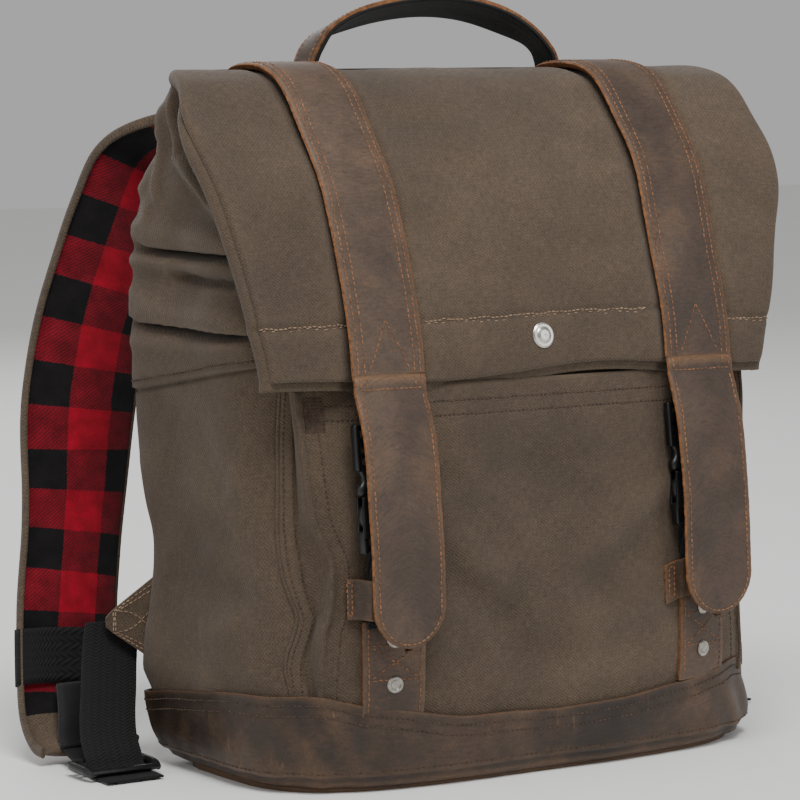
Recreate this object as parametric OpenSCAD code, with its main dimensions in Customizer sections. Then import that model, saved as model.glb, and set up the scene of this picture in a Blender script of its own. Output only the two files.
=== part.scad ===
// Roll-top backpack in waxed canvas and leather.
// Millimetres. +Z up, front faces -Y, origin at the middle of the base on the ground.

/* [Body] */
// Width of the bag at its widest, side to side
body_w = 380; // [350:1:400]
// Height of the leather base
base_h = 55; // [45:1:65]
// Thickness of the canvas layers
canvas_t = 2.5; // [2:0.1:3]

/* [Flap] */
// Width of the roll-top flap
flap_w = 390; // [360:1:400]
// Height of the flap's lower edge when it is closed
flap_hem_z = 233; // [231:1:240]
// Diameter of the snap cap
snap_d = 15; // [12:0.5:18]

/* [Leather straps] */
// Width of each leather strap
strap_w = 50; // [44:1:52]
// Distance between the two strap centres
strap_gap = 224; // [216:1:228]
// Thickness of the strap leather
leather_t = 4; // [3:0.1:4]
// Height of the strap's rounded tip
tip_z = 84; // [80:1:100]

/* [Side-release buckles] */
// Webbing width the buckles take
web_w = 38; // [36:1:38]
// Thickness of the webbing
web_t = 1.6; // [1.2:0.1:1.7]

/* [Handle] */
// Outer span of the carry handle
handle_span = 168; // [150:1:170]
// Height of the handle's arch
handle_rise = 41; // [34:1:46]
// Width of the handle strap
handle_w = 20; // [16:1:22]

/* [Shoulder straps] */
// Width of the padded shoulder straps
pad_w = 66; // [58:1:68]
// Thickness of the padded shoulder straps with their lining
pad_t = 13; // [10:0.5:14]

/* [Hidden] */

canvas_c = [0.40,0.35,0.29];
leather_c = [0.33,0.24,0.18];
base_c = [0.27,0.20,0.15];
black_c = [0.08,0.08,0.08];
plaid_c = [0.60,0.10,0.16];
metal_c = [0.72,0.71,0.68];

kx = body_w/380;          // width scale
yc = 10;                  // depth at which the section is widest
nf = 3.6;                 // how square the front corners are
nb = 5;                   // how square the back corners are
sx = strap_gap/2;         // strap centre

// section tables: height, value
PA = [[0,166],[4,172],[12,178],[30,181],[55,181],[90,178],[130,177],[180,183],[235,189],[300,190],[350,187],[392,184],[410,182]];
PF = [[0,-74],[4,-80],[12,-82],[30,-82.5],[55,-81.5],[70,-75],[90,-72],[130,-69],[180,-65],[215,-62],[233,-62.5],[250,-62],[276,-58.5],[300,-51],[340,-35.5],[366,-19.5],[392,2.5]];
PB = [[0,68],[4,75],[12,80],[55,84],[130,86],[235,84],[300,81],[350,77],[380,72],[400,62],[409,54]];
// front surface of the patch pocket
PP = [[0,-84],[56,-86],[90,-86],[130,-84.5],[156,-82.5],[180,-80],[205,-76.5],[226,-72]];

function pa(z) = kx*lookup(z,PA);
function spow(v,p) = sign(v)*pow(abs(v),p);
// one point of the closed section at height z, moved inwards by o
function sec(z,t,o,yf) = let(a = pa(z)-o, c = cos(t), s = sin(t), n = s<0 ? nf : nb,
    b = s<0 ? yc-yf-o : lookup(z,PB)-yc-o) [a*spow(c,2/n), yc+b*spow(s,2/n), z];
function ring(z,o,N) = [for (i=[0:N-1]) sec(z,360*i/N,o,lookup(z,PF))];
// depth of a front surface whose middle is at yf
function fy(x,z,yf) = let(a = pa(z)) yc-(yc-yf)*pow(1-pow(min(0.999,abs(x)/a),nf),1/nf);
function py(x,z) = fy(x,z,lookup(z,PP));
// depth of the back surface
function by(x,z) = let(a = pa(z)) yc+(lookup(z,PB)-yc)*pow(1-pow(min(0.999,abs(x)/a),nb),1/nb);

// closed solid between two point grids [row][column] that face each other
module slab(g, h) {
  nr = len(g); nc = len(g[0]);
  pts = concat([for (r=g) each r], [for (r=h) each r]);
  o = nr*nc;
  function id(r,c) = r*nc+c;
  faces = concat(
    [for (r=[0:nr-2], c=[0:nc-2]) each [[id(r,c),id(r+1,c),id(r,c+1)],[id(r,c+1),id(r+1,c),id(r+1,c+1)]]],
    [for (r=[0:nr-2], c=[0:nc-2]) each [[o+id(r,c),o+id(r,c+1),o+id(r+1,c)],[o+id(r,c+1),o+id(r+1,c+1),o+id(r+1,c)]]],
    [for (r=[0:nr-2]) each [[id(r,0),o+id(r,0),id(r+1,0)],[id(r+1,0),o+id(r,0),o+id(r+1,0)]]],
    [for (r=[0:nr-2]) each [[id(r,nc-1),id(r+1,nc-1),o+id(r,nc-1)],[id(r+1,nc-1),o+id(r+1,nc-1),o+id(r,nc-1)]]],
    [for (c=[0:nc-2]) each [[id(0,c),id(0,c+1),o+id(0,c)],[id(0,c+1),o+id(0,c+1),o+id(0,c)]]],
    [for (c=[0:nc-2]) each [[id(nr-1,c),o+id(nr-1,c),id(nr-1,c+1)],[id(nr-1,c+1),o+id(nr-1,c),o+id(nr-1,c+1)]]]);
  polyhedron(points=pts, faces=faces);
}

// closed tube wall between heights, from the section moved by o1 (outside) to o2 (inside)
module wall_ring(Z, o1, o2, N) {
  nz = len(Z);
  g = [for (z=Z) ring(z,o1,N)]; h = [for (z=Z) ring(z,o2,N)];
  pts = concat([for (r=g) each r], [for (r=h) each r]);
  o = nz*N;
  function id(r,c) = r*N+(c%N);
  faces = concat(
    [for (r=[0:nz-2], c=[0:N-1]) each [[id(r,c),id(r+1,c),id(r,c+1)],[id(r,c+1),id(r+1,c),id(r+1,c+1)]]],
    [for (r=[0:nz-2], c=[0:N-1]) each [[o+id(r,c),o+id(r,c+1),o+id(r+1,c)],[o+id(r,c+1),o+id(r+1,c+1),o+id(r+1,c)]]],
    [for (c=[0:N-1]) each [[id(0,c),id(0,c+1),o+id(0,c)],[id(0,c+1),o+id(0,c+1),o+id(0,c)]]],
    [for (c=[0:N-1]) each [[id(nz-1,c),o+id(nz-1,c),id(nz-1,c+1)],[id(nz-1,c+1),o+id(nz-1,c),o+id(nz-1,c+1)]]]);
  polyhedron(points=pts, faces=faces);
}

// canvas wall between two angles of the section
module canvas_panel(Z, t0, t1, n) {
  g = [for (z=Z) [for (i=[0:n]) sec(z,t0+(t1-t0)*i/n,0,lookup(z,PF))]];
  h = [for (z=Z) [for (i=[0:n]) sec(z,t0+(t1-t0)*i/n,canvas_t,lookup(z,PF))]];
  slab(g,h);
}

ZW = [30,55,70,90,130,180,215,233,250,276,300,340,366,380,392];
ZB = concat(ZW,[397.5,403]);
tf = 42;   // half the angle the side walls take, towards the front
tb = 30;   // and towards the back

module front_panel() color(canvas_c) canvas_panel(ZW, 180+tf, 360-tf, 20);
module side_panel_right() color(canvas_c) canvas_panel(ZW, -tf, tb, 12);
module side_panel_left() color(canvas_c) canvas_panel(ZW, 180-tb, 180+tf, 12);
module back_panel() color(canvas_c) canvas_panel(ZB, tb, 180-tb, 16);

// leather base: skirt round the sides, flat panel below, stiff board inside
module base_skirt() color(base_c) wall_ring([3.6,8,12,30,base_h], -2.8, -0.3, 48);
module base_panel() color(base_c) linear_extrude(3.4) polygon([for (p=ring(3.4,0.6,48)) [p[0],p[1]]]);
module base_board() color(black_c) translate([0,0,3.6]) linear_extrude(3) polygon([for (p=ring(5,6,48)) [p[0],p[1]]]);

module back_pad() color(canvas_c) {
  X = [for (i=[-5:5]) i*25*kx]; Z = [70,120,180,240,300,350];
  slab([for (z=Z) [for (x=X) [x, by(x,z)+ (abs(x)>120 || z==70 || z==350 ? 3.6 : 9), z]]], [for (z=Z) [for (x=X) [x, by(x,z)+1.4, z]]]);
}

// bellows patch pocket: a front wall that returns to the body at both sides, on a closed floor
function bf(x,z) = fy(x,z,lookup(z,PF))-0.8;
module front_pocket() color(canvas_c) {
  w = 166*kx; t = canvas_t; v = w-t;
  Z = [base_h+1,70,90,130,156,180,205,226];
  slab([for (z=Z) concat([[-w,bf(w,z),z]], [for (i=[-10:10]) [i*w/10, py(i*w/10,z), z]], [[w,bf(w,z),z]])],
       [for (z=Z) concat([[-v,bf(v,z),z]], [for (i=[-10:10]) [i*v/10, py(i*v/10,z)+t, z]], [[v,bf(v,z),z]])]);
  u = 146*kx; zf = [base_h+1, base_h+3.5];
  slab([for (z=zf) [for (i=[-10:10]) [i*u/10, py(i*u/10,z)+t+0.15, z]]], [for (z=zf) [for (i=[-10:10]) [i*u/10, bf(i*u/10,z), z]]]);
}

// leather tab that ties the webbing down to the base
module lower_tab(s) color(leather_c) {
  X = [for (i=[-2:2]) s*sx+i*9.5]; Z = [base_h+1.5,70,85,100];
  slab([for (z=Z) [for (x=X) [x, py(x,z)-0.3-canvas_t, z]]], [for (z=Z) [for (x=X) [x, py(x,z)-0.3, z]]]);
}
module lower_tab_left() lower_tab(-1);
module lower_tab_right() lower_tab(1);

module rivet(s,z) translate([s*sx, py(s*sx,z)-0.9-canvas_t, z]) rotate([90,0,s*13.5])
  rotate_extrude($fn=32) polygon([[0,-0.2],[5,-0.2],[5,0.5],[4.4,1.2],[3.2,1.3],[2.4,0.7],[0,0.7]]);
module rivets() color(metal_c) for (s=[-1,1], z=[63,89]) rivet(s,z);

// keeper loop: leather band over the webbing, its ends on the pocket
module keeper_loop(s) color(leather_c) {
  y0 = py(sx-19,112)-web_t-1.0;
  for (e=[-1,1]) { xe = s*sx+e*29; ye = min(py(xe-2,101),py(xe+2,101),py(xe-2,124),py(xe+2,124))-0.3;
    translate([xe-2, y0-0.1, 101]) cube([4, max(0.2,ye-y0+0.1), 23]); }
  translate([s*sx-31, y0-2.2, 101]) cube([62, 2.2, 23]);
}
module keeper_loop_left() keeper_loop(-1);
module keeper_loop_right() keeper_loop(1);

module lower_webbing(s) color(black_c) translate([s*sx-web_w/2, py(sx-19,112)-web_t-0.5, 101.2]) cube([web_w, web_t, 24]);
module lower_webbing_left() lower_webbing(-1);
module lower_webbing_right() lower_webbing(1);

// canvas wing sewn into the lower back seam, where the strap webbing starts
module wing_tab(s) color(canvas_c) {
  rr = sec(80,145,0,-79);
  translate([s*(abs(rr[0])+1.5), rr[1]+1, 0]) mirror([s<0?1:0,0,0]) rotate([90,0,24]) translate([0,0,-1.5])
    linear_extrude(3) polygon([[0,57],[6,57.5],[40,80],[41,88],[6,116],[0,118]]);
}
module wing_tab_left() wing_tab(-1);
module wing_tab_right() wing_tab(1);

// ribbon of width w along points P, its width along unit vectors W
module ribbon(P, W, w, t0, t1) {
  n = len(P);
  function tg(i) = let(a = P[max(0,i-1)], b = P[min(n-1,i+1)]) (b-a)/norm(b-a);
  function nn(i) = let(v = cross(W[i],tg(i))) v/norm(v);
  slab([for (i=[0:n-1]) [for (k=[-1,0,1]) P[i]+W[i]*k*w/2+nn(i)*t1]], [for (i=[0:n-1]) [for (k=[-1,0,1]) P[i]+W[i]*k*w/2+nn(i)*t0]]);
}
function mx(p,s) = [s*p[0],p[1],p[2]];
function unit(v) = v/norm(v);

// route of the webbing from the wing tab down to the ladder lock, right side
AP = [[203,90,84],[207,84,66],[212,75,46],[217,66,28],[219,60,17]];
module adjuster(s) color(black_c) ribbon([for (p=AP) mx(p,s)], [for (p=AP) [1,0,0]], web_w, -web_t/2, web_t/2);
module adjuster_webbing_left() adjuster(-1);
module adjuster_webbing_right() adjuster(1);

// leather band across the top of the back, which carries the handle
module handle_band() color(leather_c) {
  X = [for (i=[-6:6]) i*25]; Z = [362,372,380,388];
  slab([for (z=Z) [for (x=X) [x, by(x,z)+2.8, z]]], [for (z=Z) [for (x=X) [x, by(x,z)+0.9, z]]]);
}

// side view of the flap: depth and height of its outer face, from the back ridge to the hem
FT = [[54,409.6],[40,411.5],[24,411],[12,408.5],[4,405]];
FM = [[4,405],[-7,394],[-29,366],[-45,340],[-60,300],[-68,276],[-73,250],[-75,flap_hem_z]];
FP = concat(FT,[for (i=[1:len(FM)-1]) FM[i]]);
hA = FT[0]; hB = FT[len(FT)-1];
// outward normal of a side-view path at point i
function sn(P,i) = let(a = P[max(0,i-1)], b = P[min(len(P)-1,i+1)], d = unit(b-a)) [d[1],-d[0]];
function perp(v) = let(d = unit(v)) [d[1],-d[0]];
// sheet from x0 to x1 whose side view follows points i0..i1 of FP, between two offsets
module sheet(x0,x1,i0,i1,d0,d1,g0,g1) {
  // a layer outside the fold line is cut square at its ends, so that it clears its neighbour as the fold opens
  sq = d1 > 0 || g0 > 1;
  A = [for (i=[i0:i1]) i==i0 ? FP[i]+unit(FP[i+1]-FP[i])*g0 : i==i1 ? FP[i]-unit(FP[i]-FP[i-1])*g1 : FP[i]];
  N = [for (i=[i0:i1]) sq && i==i0 ? perp(FP[i+1]-FP[i]) : sq && i==i1 ? perp(FP[i]-FP[i-1]) : sn(FP,i)];
  O = [for (i=[i0:i1]) A[i-i0]+N[i-i0]*d1]; I = [for (i=[i1:-1:i0]) A[i-i0]+N[i-i0]*d0];
  translate([x0,0,0]) rotate([90,0,90]) linear_extrude(x1-x0) polygon(concat(O,I));
}
nT = len(FT)-1; nM = len(FP)-1;
fw = flap_w/2;
module flap_top() color(canvas_c) sheet(-fw*0.97,fw*0.97,0,nT,-5.5,0,0.6,0.6);
module flap_outer() color(canvas_c) sheet(-fw,fw,nT,nM,-canvas_t,0,0.6,0);
module flap_inner() color(canvas_c) sheet(-fw+2,fw-2,nT,nM,-5.6,-3.1,6,-3.5);

module strap_seg(s,i0,i1,g0,g1) color(leather_c) sheet(s*sx-strap_w/2,s*sx+strap_w/2,i0,i1,0.3,0.3+leather_t,g0,g1);
module strap_bridge_left() strap_seg(-1,0,nT,0.6,2.1);
module strap_bridge_right() strap_seg(1,0,nT,0.6,2.1);
module strap_left() strap_seg(-1,nT,nM,2.1,2.1);
module strap_right() strap_seg(1,nT,nM,2.1,2.1);
module strap_anchor(s) color(leather_c) {
  X = [for (i=[-2:2]) s*sx+i*strap_w/4]; Z = [389.5,393,397,400,403];
  slab([for (z=Z) [for (x=X) [x, by(x,z)+0.8+leather_t, z]]], [for (z=Z) [for (x=X) [x, by(x,z)+0.8, z]]]);
}
module strap_anchor_left() strap_anchor(-1);
module strap_anchor_right() strap_anchor(1);

// free end of the leather strap below its stitch line
TP = [[-80.3,230.6],[-86,222],[-90.4,205],[-94.1,180],[-96.7,156],[-99.2,130],[-100,105],[-100.6,tip_z]];
module strap_tip(s) color(leather_c) intersection() {
  translate([s*sx-strap_w/2,0,0]) rotate([90,0,90]) linear_extrude(strap_w) polygon(concat(TP,[for (i=[len(TP)-1:-1:0]) TP[i]+[leather_t,0]]));
  translate([s*sx,-60,0]) rotate([90,0,0]) linear_extrude(60) union() {
    translate([0,tip_z+strap_w/2]) circle(r=strap_w/2,$fn=64);
    translate([-strap_w/2,tip_z+strap_w/2]) square([strap_w,250]);
  }
}
module strap_tip_left() strap_tip(-1);
module strap_tip_right() strap_tip(1);

// snap on the flap hem
snap_z = 257;
module at_snap() translate([0,-71.7,snap_z]) rotate([90-10.9,0,0]) children();
module snap_cap() color(metal_c) at_snap() rotate_extrude($fn=48) polygon([[0,0.4],[snap_d/2,0.4],[snap_d/2,1.4],[snap_d/2-1,2.1],[snap_d/2-2.4,2.0],[snap_d/2-3,2.5],[3,3.1],[0,3.3]]);
module snap_stud() color(metal_c) at_snap() translate([0,0,-7.5]) rotate_extrude($fn=48) polygon([[0,0],[5.5,0],[5.5,1.3],[0,1.3]]);

// side-release buckle, in its own frame: Z along its length, X across, Y through
btilt = 8;
module at_buckle(s) translate([s*sx,-86.4,156]) rotate([-btilt,0,0]) children();
module bx(x0,x1,y0,y1,z0,z1) translate([x0,y0,z0]) cube([x1-x0,y1-y0,z1-z0]);
module female(s) color(black_c) at_buckle(s) {
  for (e=[0,1]) mirror([e,0,0]) { bx(19.6,23,-3,3,-15.5,-4); bx(6.6,8,-3.2,3.2,-3,16.4); }
  translate([-21,0,-13]) rotate([0,90,0]) cylinder(r=2.2,h=42,$fn=24);
  bx(-23,23,-4.7,4.7,-6.9,-2.9);
  bx(-22,22,-4.7,-3.1,-3,16.4);
  bx(-22,22,3.1,4.7,-3,16.4);
}
module buckle_female_left() female(-1);
module buckle_female_right() female(1);
module female_webbing(s) color(black_c) at_buckle(s) translate([-web_w/2+0.2,0,0]) rotate([90,0,90]) linear_extrude(web_w-0.4) difference() {
  union() { translate([0,-13]) circle(r=2.4+web_t,$fn=32); translate([-2.4-web_t,-18]) square([2*(2.4+web_t),5]); }
  translate([0,-13]) circle(r=2.4,$fn=32);
  translate([-2.4,-18.1]) square([4.8,5.1]);
}
module female_webbing_left() female_webbing(-1);
module female_webbing_right() female_webbing(1);
module male(s) color(black_c) at_buckle(s) {
  bx(-23,23,-4.2,4.2,17,23.5);
  bx(-20,20,-3.4,3.4,23.5,33);
  bx(-4.6,4.6,-2.6,2.6,-0.6,17);
  for (e=[0,1]) mirror([e,0,0]) bx(19.6,23,-2.6,2.6,31,57.6);
  bx(-23,23,-2.6,2.6,29,34);
  for (z=[38,46,54]) bx(-23,23,-2.6,2.6,z,z+3.6);
}
module buckle_male_left() male(-1);
module buckle_male_right() male(1);
module male_webbing(s) color(black_c) at_buckle(s) {
  y = 2.9+web_t*0.8; w = web_w/2-0.2;
  bx(-w,w,2.9,y,36,56);
  bx(-w,w,-y,-2.9,43.2,52.4);
  bx(-w,w,-y,y,43.2,44.6);
  bx(-w,w,-y,y,51,52.4);
}
module male_webbing_left() male_webbing(-1);
module male_webbing_right() male_webbing(1);
module prong(s,e) color(black_c) at_buckle(s) mirror([e,0,0]) translate([0,2.6,0]) rotate([90,0,0]) linear_extrude(5.2)
  polygon([[12.6,-0.5],[15,-1.6],[19.4,-0.6],[22.6,3],[23,7],[21.6,10.4],[17,12],[16.6,16.6],[12.6,16.6]]);
module prong_left_a() prong(-1,0);
module prong_left_b() prong(-1,1);
module prong_right_a() prong(1,0);
module prong_right_b() prong(1,1);

// carry handle: leather arch lined with webbing
function arch(hs,hr,m) = [for (i=[0:m]) let(t = 180*i/m) [-hs*spow(cos(t),0.62), hr*pow(sin(t),0.75)]];
module arch2d(o,t) { M = 24;
  A = arch(handle_span/2-o,handle_rise-o,M); B = arch(handle_span/2-o-t,handle_rise-o-t,M);
  polygon(concat(A,[for (i=[M:-1:0]) B[i]])); }
module at_handle() translate([0,56+handle_w,411.6]) rotate([90,0,0]) children();
module handle_leather() color(leather_c) at_handle() linear_extrude(handle_w) arch2d(0,2.8);
module handle_webbing() color(black_c) at_handle() translate([0,0,1.5]) linear_extrude(handle_w-3) arch2d(2.8,2.4);

// padded shoulder strap, right side: centre line, and the direction of its width
SP = [[88,84,378],[97,94,386],[112,108,384],[131,124,358],[148,136,326],[163,145,290],[176,149,250],[185,150,205],[190,149,157],[194,146,125],[200,140,87],[206,131,50],[210,120,24],[211,106,11],[211,92,8.6]];
SW = [for (i=[0:len(SP)-1]) unit([1, i<3 ? -0.15 : 0, i<2 ? -0.35 : i<5 ? -0.25 : i<7 ? -0.15 : -0.03])];
module pad_ribbon(s,i0,i1,w,t0,t1) {
  P = [for (i=[i0:i1]) mx(SP[i],s)]; W = [for (i=[i0:i1]) s*mx(SW[i],s)];
  ribbon(P,W,w,t0,t1);
}
m1 = len(SP)-1;
module shoulder_pad(s) color(canvas_c) pad_ribbon(s,0,m1,pad_w,-pad_t/2+2.2,pad_t/2);
module shoulder_lining(s) color(plaid_c) pad_ribbon(s,0,m1,pad_w-2,-pad_t/2,-pad_t/2+1.9);
module shoulder_pad_left() shoulder_pad(-1);
module shoulder_pad_right() shoulder_pad(1);
module shoulder_lining_left() shoulder_lining(-1);
module shoulder_lining_right() shoulder_lining(1);
// webbing band round the lower end of the padded strap
module web_wrap(s) color(black_c) {
  pad_ribbon(s,m1-4,m1-3,pad_w+4,pad_t/2+0.3,pad_t/2+1.9);
  pad_ribbon(s,m1-4,m1-3,pad_w+4,-pad_t/2-1.9,-pad_t/2-0.3);
}
module web_wrap_left() web_wrap(-1);
module web_wrap_right() web_wrap(1);
// short webbing that ties the ladder lock to the padded strap
module lock_loop(s) color(black_c) ribbon([for (p=[[213,91,8.6],[217,76,7.6],[219,64,6.6]]) mx(p,s)], [for (i=[0:2]) [1,0,0]], web_w, -web_t/2, web_t/2);
module lock_loop_left() lock_loop(-1);
module lock_loop_right() lock_loop(1);
// ladder lock: a frame with two bars
module ladder_lock(s) color(black_c) translate([s*220,0,0]) {
  for (e=[0,1]) mirror([e,0,0]) bx(20,25,36,62.6,3,10);
  translate([-24,60,6.5]) rotate([0,90,0]) cylinder(r=2.2,h=48,$fn=24);
  bx(-24,24,51,54.4,4,9.4);
  bx(-25,25,36,41,3,7.4);
}
module ladder_lock_left() ladder_lock(-1);
module ladder_lock_right() ladder_lock(1);

front_panel();
back_panel();
side_panel_left();
side_panel_right();
base_skirt();
base_panel();
base_board();
back_pad();
front_pocket();
lower_tab_left();
lower_tab_right();
rivets();
keeper_loop_left();
keeper_loop_right();
lower_webbing_left();
lower_webbing_right();
wing_tab_left();
wing_tab_right();
adjuster_webbing_left();
adjuster_webbing_right();
handle_band();
strap_anchor_left();
strap_anchor_right();
flap_top();
strap_bridge_left();
strap_bridge_right();
flap_outer();
snap_cap();
strap_left();
strap_right();
flap_inner();
snap_stud();
strap_tip_left();
strap_tip_right();
buckle_female_left();
buckle_female_right();
female_webbing_left();
female_webbing_right();
buckle_male_left();
buckle_male_right();
male_webbing_left();
male_webbing_right();
prong_left_a();
prong_left_b();
prong_right_a();
prong_right_b();
handle_leather();
handle_webbing();
shoulder_pad_left();
shoulder_pad_right();
shoulder_lining_left();
shoulder_lining_right();
web_wrap_left();
web_wrap_right();
lock_loop_left();
lock_loop_right();
ladder_lock_left();
ladder_lock_right();
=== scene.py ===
# Roll-top backpack in waxed canvas and leather: the looks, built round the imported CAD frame.
import bpy, math
import numpy as np
from mathutils import Vector, Matrix


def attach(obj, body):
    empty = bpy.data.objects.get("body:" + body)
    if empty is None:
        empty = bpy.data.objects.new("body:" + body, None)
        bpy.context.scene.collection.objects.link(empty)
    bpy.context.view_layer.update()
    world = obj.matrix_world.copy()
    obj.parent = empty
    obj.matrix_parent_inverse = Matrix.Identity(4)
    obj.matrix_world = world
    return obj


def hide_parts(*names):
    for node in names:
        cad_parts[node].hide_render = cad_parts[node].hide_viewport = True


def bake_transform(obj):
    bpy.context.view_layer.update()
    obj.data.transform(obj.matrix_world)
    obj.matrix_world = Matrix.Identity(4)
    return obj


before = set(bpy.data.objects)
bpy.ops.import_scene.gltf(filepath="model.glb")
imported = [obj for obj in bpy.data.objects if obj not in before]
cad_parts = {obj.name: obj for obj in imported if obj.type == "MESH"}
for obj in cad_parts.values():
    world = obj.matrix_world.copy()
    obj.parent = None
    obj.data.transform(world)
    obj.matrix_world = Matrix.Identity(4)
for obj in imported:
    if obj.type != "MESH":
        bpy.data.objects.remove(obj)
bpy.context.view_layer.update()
MM = 0.001
rng = np.random.default_rng(7)

# ------------------------------------------------------------------ camera, floor, light
scene = bpy.context.scene


def srgb(r, g, b):
    def f(c):
        c = c / 255.0
        return c / 12.92 if c <= 0.04045 else ((c + 0.055) / 1.055) ** 2.4
    return (f(r), f(g), f(b), 1.0)


az, el, dist = math.radians(-34.0), math.radians(5.8), 2.2
target = Vector((-0.052, 0.0, 0.2159))
back = Vector((math.sin(az) * math.cos(el), -math.cos(az) * math.cos(el), math.sin(el)))
cam_data = bpy.data.cameras.new("camera")
cam_data.lens, cam_data.sensor_width = 166.5, 36.0
cam_data.clip_start, cam_data.clip_end = 0.05, 50
cam = bpy.data.objects.new("camera", cam_data)
scene.collection.objects.link(cam)
cam.location = target + back * dist
cam.rotation_euler = (-back).to_track_quat("-Z", "Y").to_euler()
scene.camera = cam

# ------------------------------------------------------------------ materials
MATS = {}


class Nodes:
    """A short way to write a node tree."""

    def __init__(self, name):
        self.m = bpy.data.materials.new(name)
        self.m.use_nodes = True
        self.t = self.m.node_tree
        self.b = self.t.nodes["Principled BSDF"]
        MATS[name] = self.m

    def n(self, kind, **kw):
        node = self.t.nodes.new("ShaderNode" + kind)
        for k, v in kw.items():
            if k == "ins":
                for a, b in v.items():
                    s = node.inputs[a]
                    if isinstance(b, bpy.types.NodeSocket):
                        self.t.links.new(b, s)
                    else:
                        s.default_value = b
            else:
                setattr(node, k, v)
        return node

    def link(self, a, b):
        self.t.links.new(a, b)

    def coords(self, kind="Object"):
        return self.n("TexCoord").outputs[kind]

    def noise(self, vec, scale, detail=3.0, rough=0.55, dist=0.0):
        return self.n("TexNoise", ins={"Vector": vec, "Scale": scale, "Detail": detail, "Roughness": rough, "Distortion": dist}).outputs["Fac"]

    def mapping(self, vec, scale=(1, 1, 1), rot=(0, 0, 0), loc=(0, 0, 0)):
        return self.n("Mapping", ins={"Vector": vec, "Scale": scale, "Rotation": rot, "Location": loc}).outputs["Vector"]

    def ramp(self, fac, stops, interp="LINEAR"):
        r = self.n("ValToRGB", ins={"Fac": fac})
        r.color_ramp.interpolation = interp
        e = r.color_ramp.elements
        while len(e) > 1:
            e.remove(e[-1])
        e[0].position, e[0].color = stops[0]
        for p, c in stops[1:]:
            x = e.new(p)
            x.color = c
        return r.outputs["Color"]

    def math(self, op, a, b=0.5, c=None, clamp=False):
        n = self.n("Math", operation=op)
        n.use_clamp = clamp
        for i, v in enumerate((a, b) if c is None else (a, b, c)):
            if isinstance(v, bpy.types.NodeSocket):
                self.link(v, n.inputs[i])
            else:
                n.inputs[i].default_value = v
        return n.outputs[0]

    def mix(self, fac, a, b, blend="MIX"):
        n = self.n("Mix", data_type="RGBA", blend_type=blend)
        for s, v in ((n.inputs[0], fac), (n.inputs[6], a), (n.inputs[7], b)):
            if isinstance(v, bpy.types.NodeSocket):
                self.link(v, s)
            else:
                s.default_value = v
        return n.outputs[2]

    def bump(self, height, strength, distance, normal=None):
        n = self.n("Bump", ins={"Height": height, "Strength": strength, "Distance": distance})
        if normal is not None:
            self.link(normal, n.inputs["Normal"])
        return n.outputs["Normal"]

    def color(self, c):
        if isinstance(c, bpy.types.NodeSocket):
            self.link(c, self.b.inputs["Base Color"])
        else:
            self.b.inputs["Base Color"].default_value = c

    def rough(self, c):
        if isinstance(c, bpy.types.NodeSocket):
            self.link(c, self.b.inputs["Roughness"])
        else:
            self.b.inputs["Roughness"].default_value = c

    def normal(self, c):
        self.link(c, self.b.inputs["Normal"])


def weave_height(k, uv, pitch):
    """Plain weave: threads over and under, from a UV in metres."""
    f = math.pi / pitch
    sep = k.n("SeparateXYZ", ins={"Vector": uv})
    wob = k.noise(uv, 320.0, 2.0)
    u = k.math("ADD", k.math("MULTIPLY", sep.outputs[0], f), k.math("MULTIPLY", wob, 1.3))
    v = k.math("ADD", k.math("MULTIPLY", sep.outputs[1], f), k.math("MULTIPLY", wob, 1.3))
    su, sv = k.math("SINE", u), k.math("SINE", v)
    a = k.math("MULTIPLY", su, sv)
    return k.math("ADD", k.math("MULTIPLY", a, 0.5), 0.5)


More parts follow.
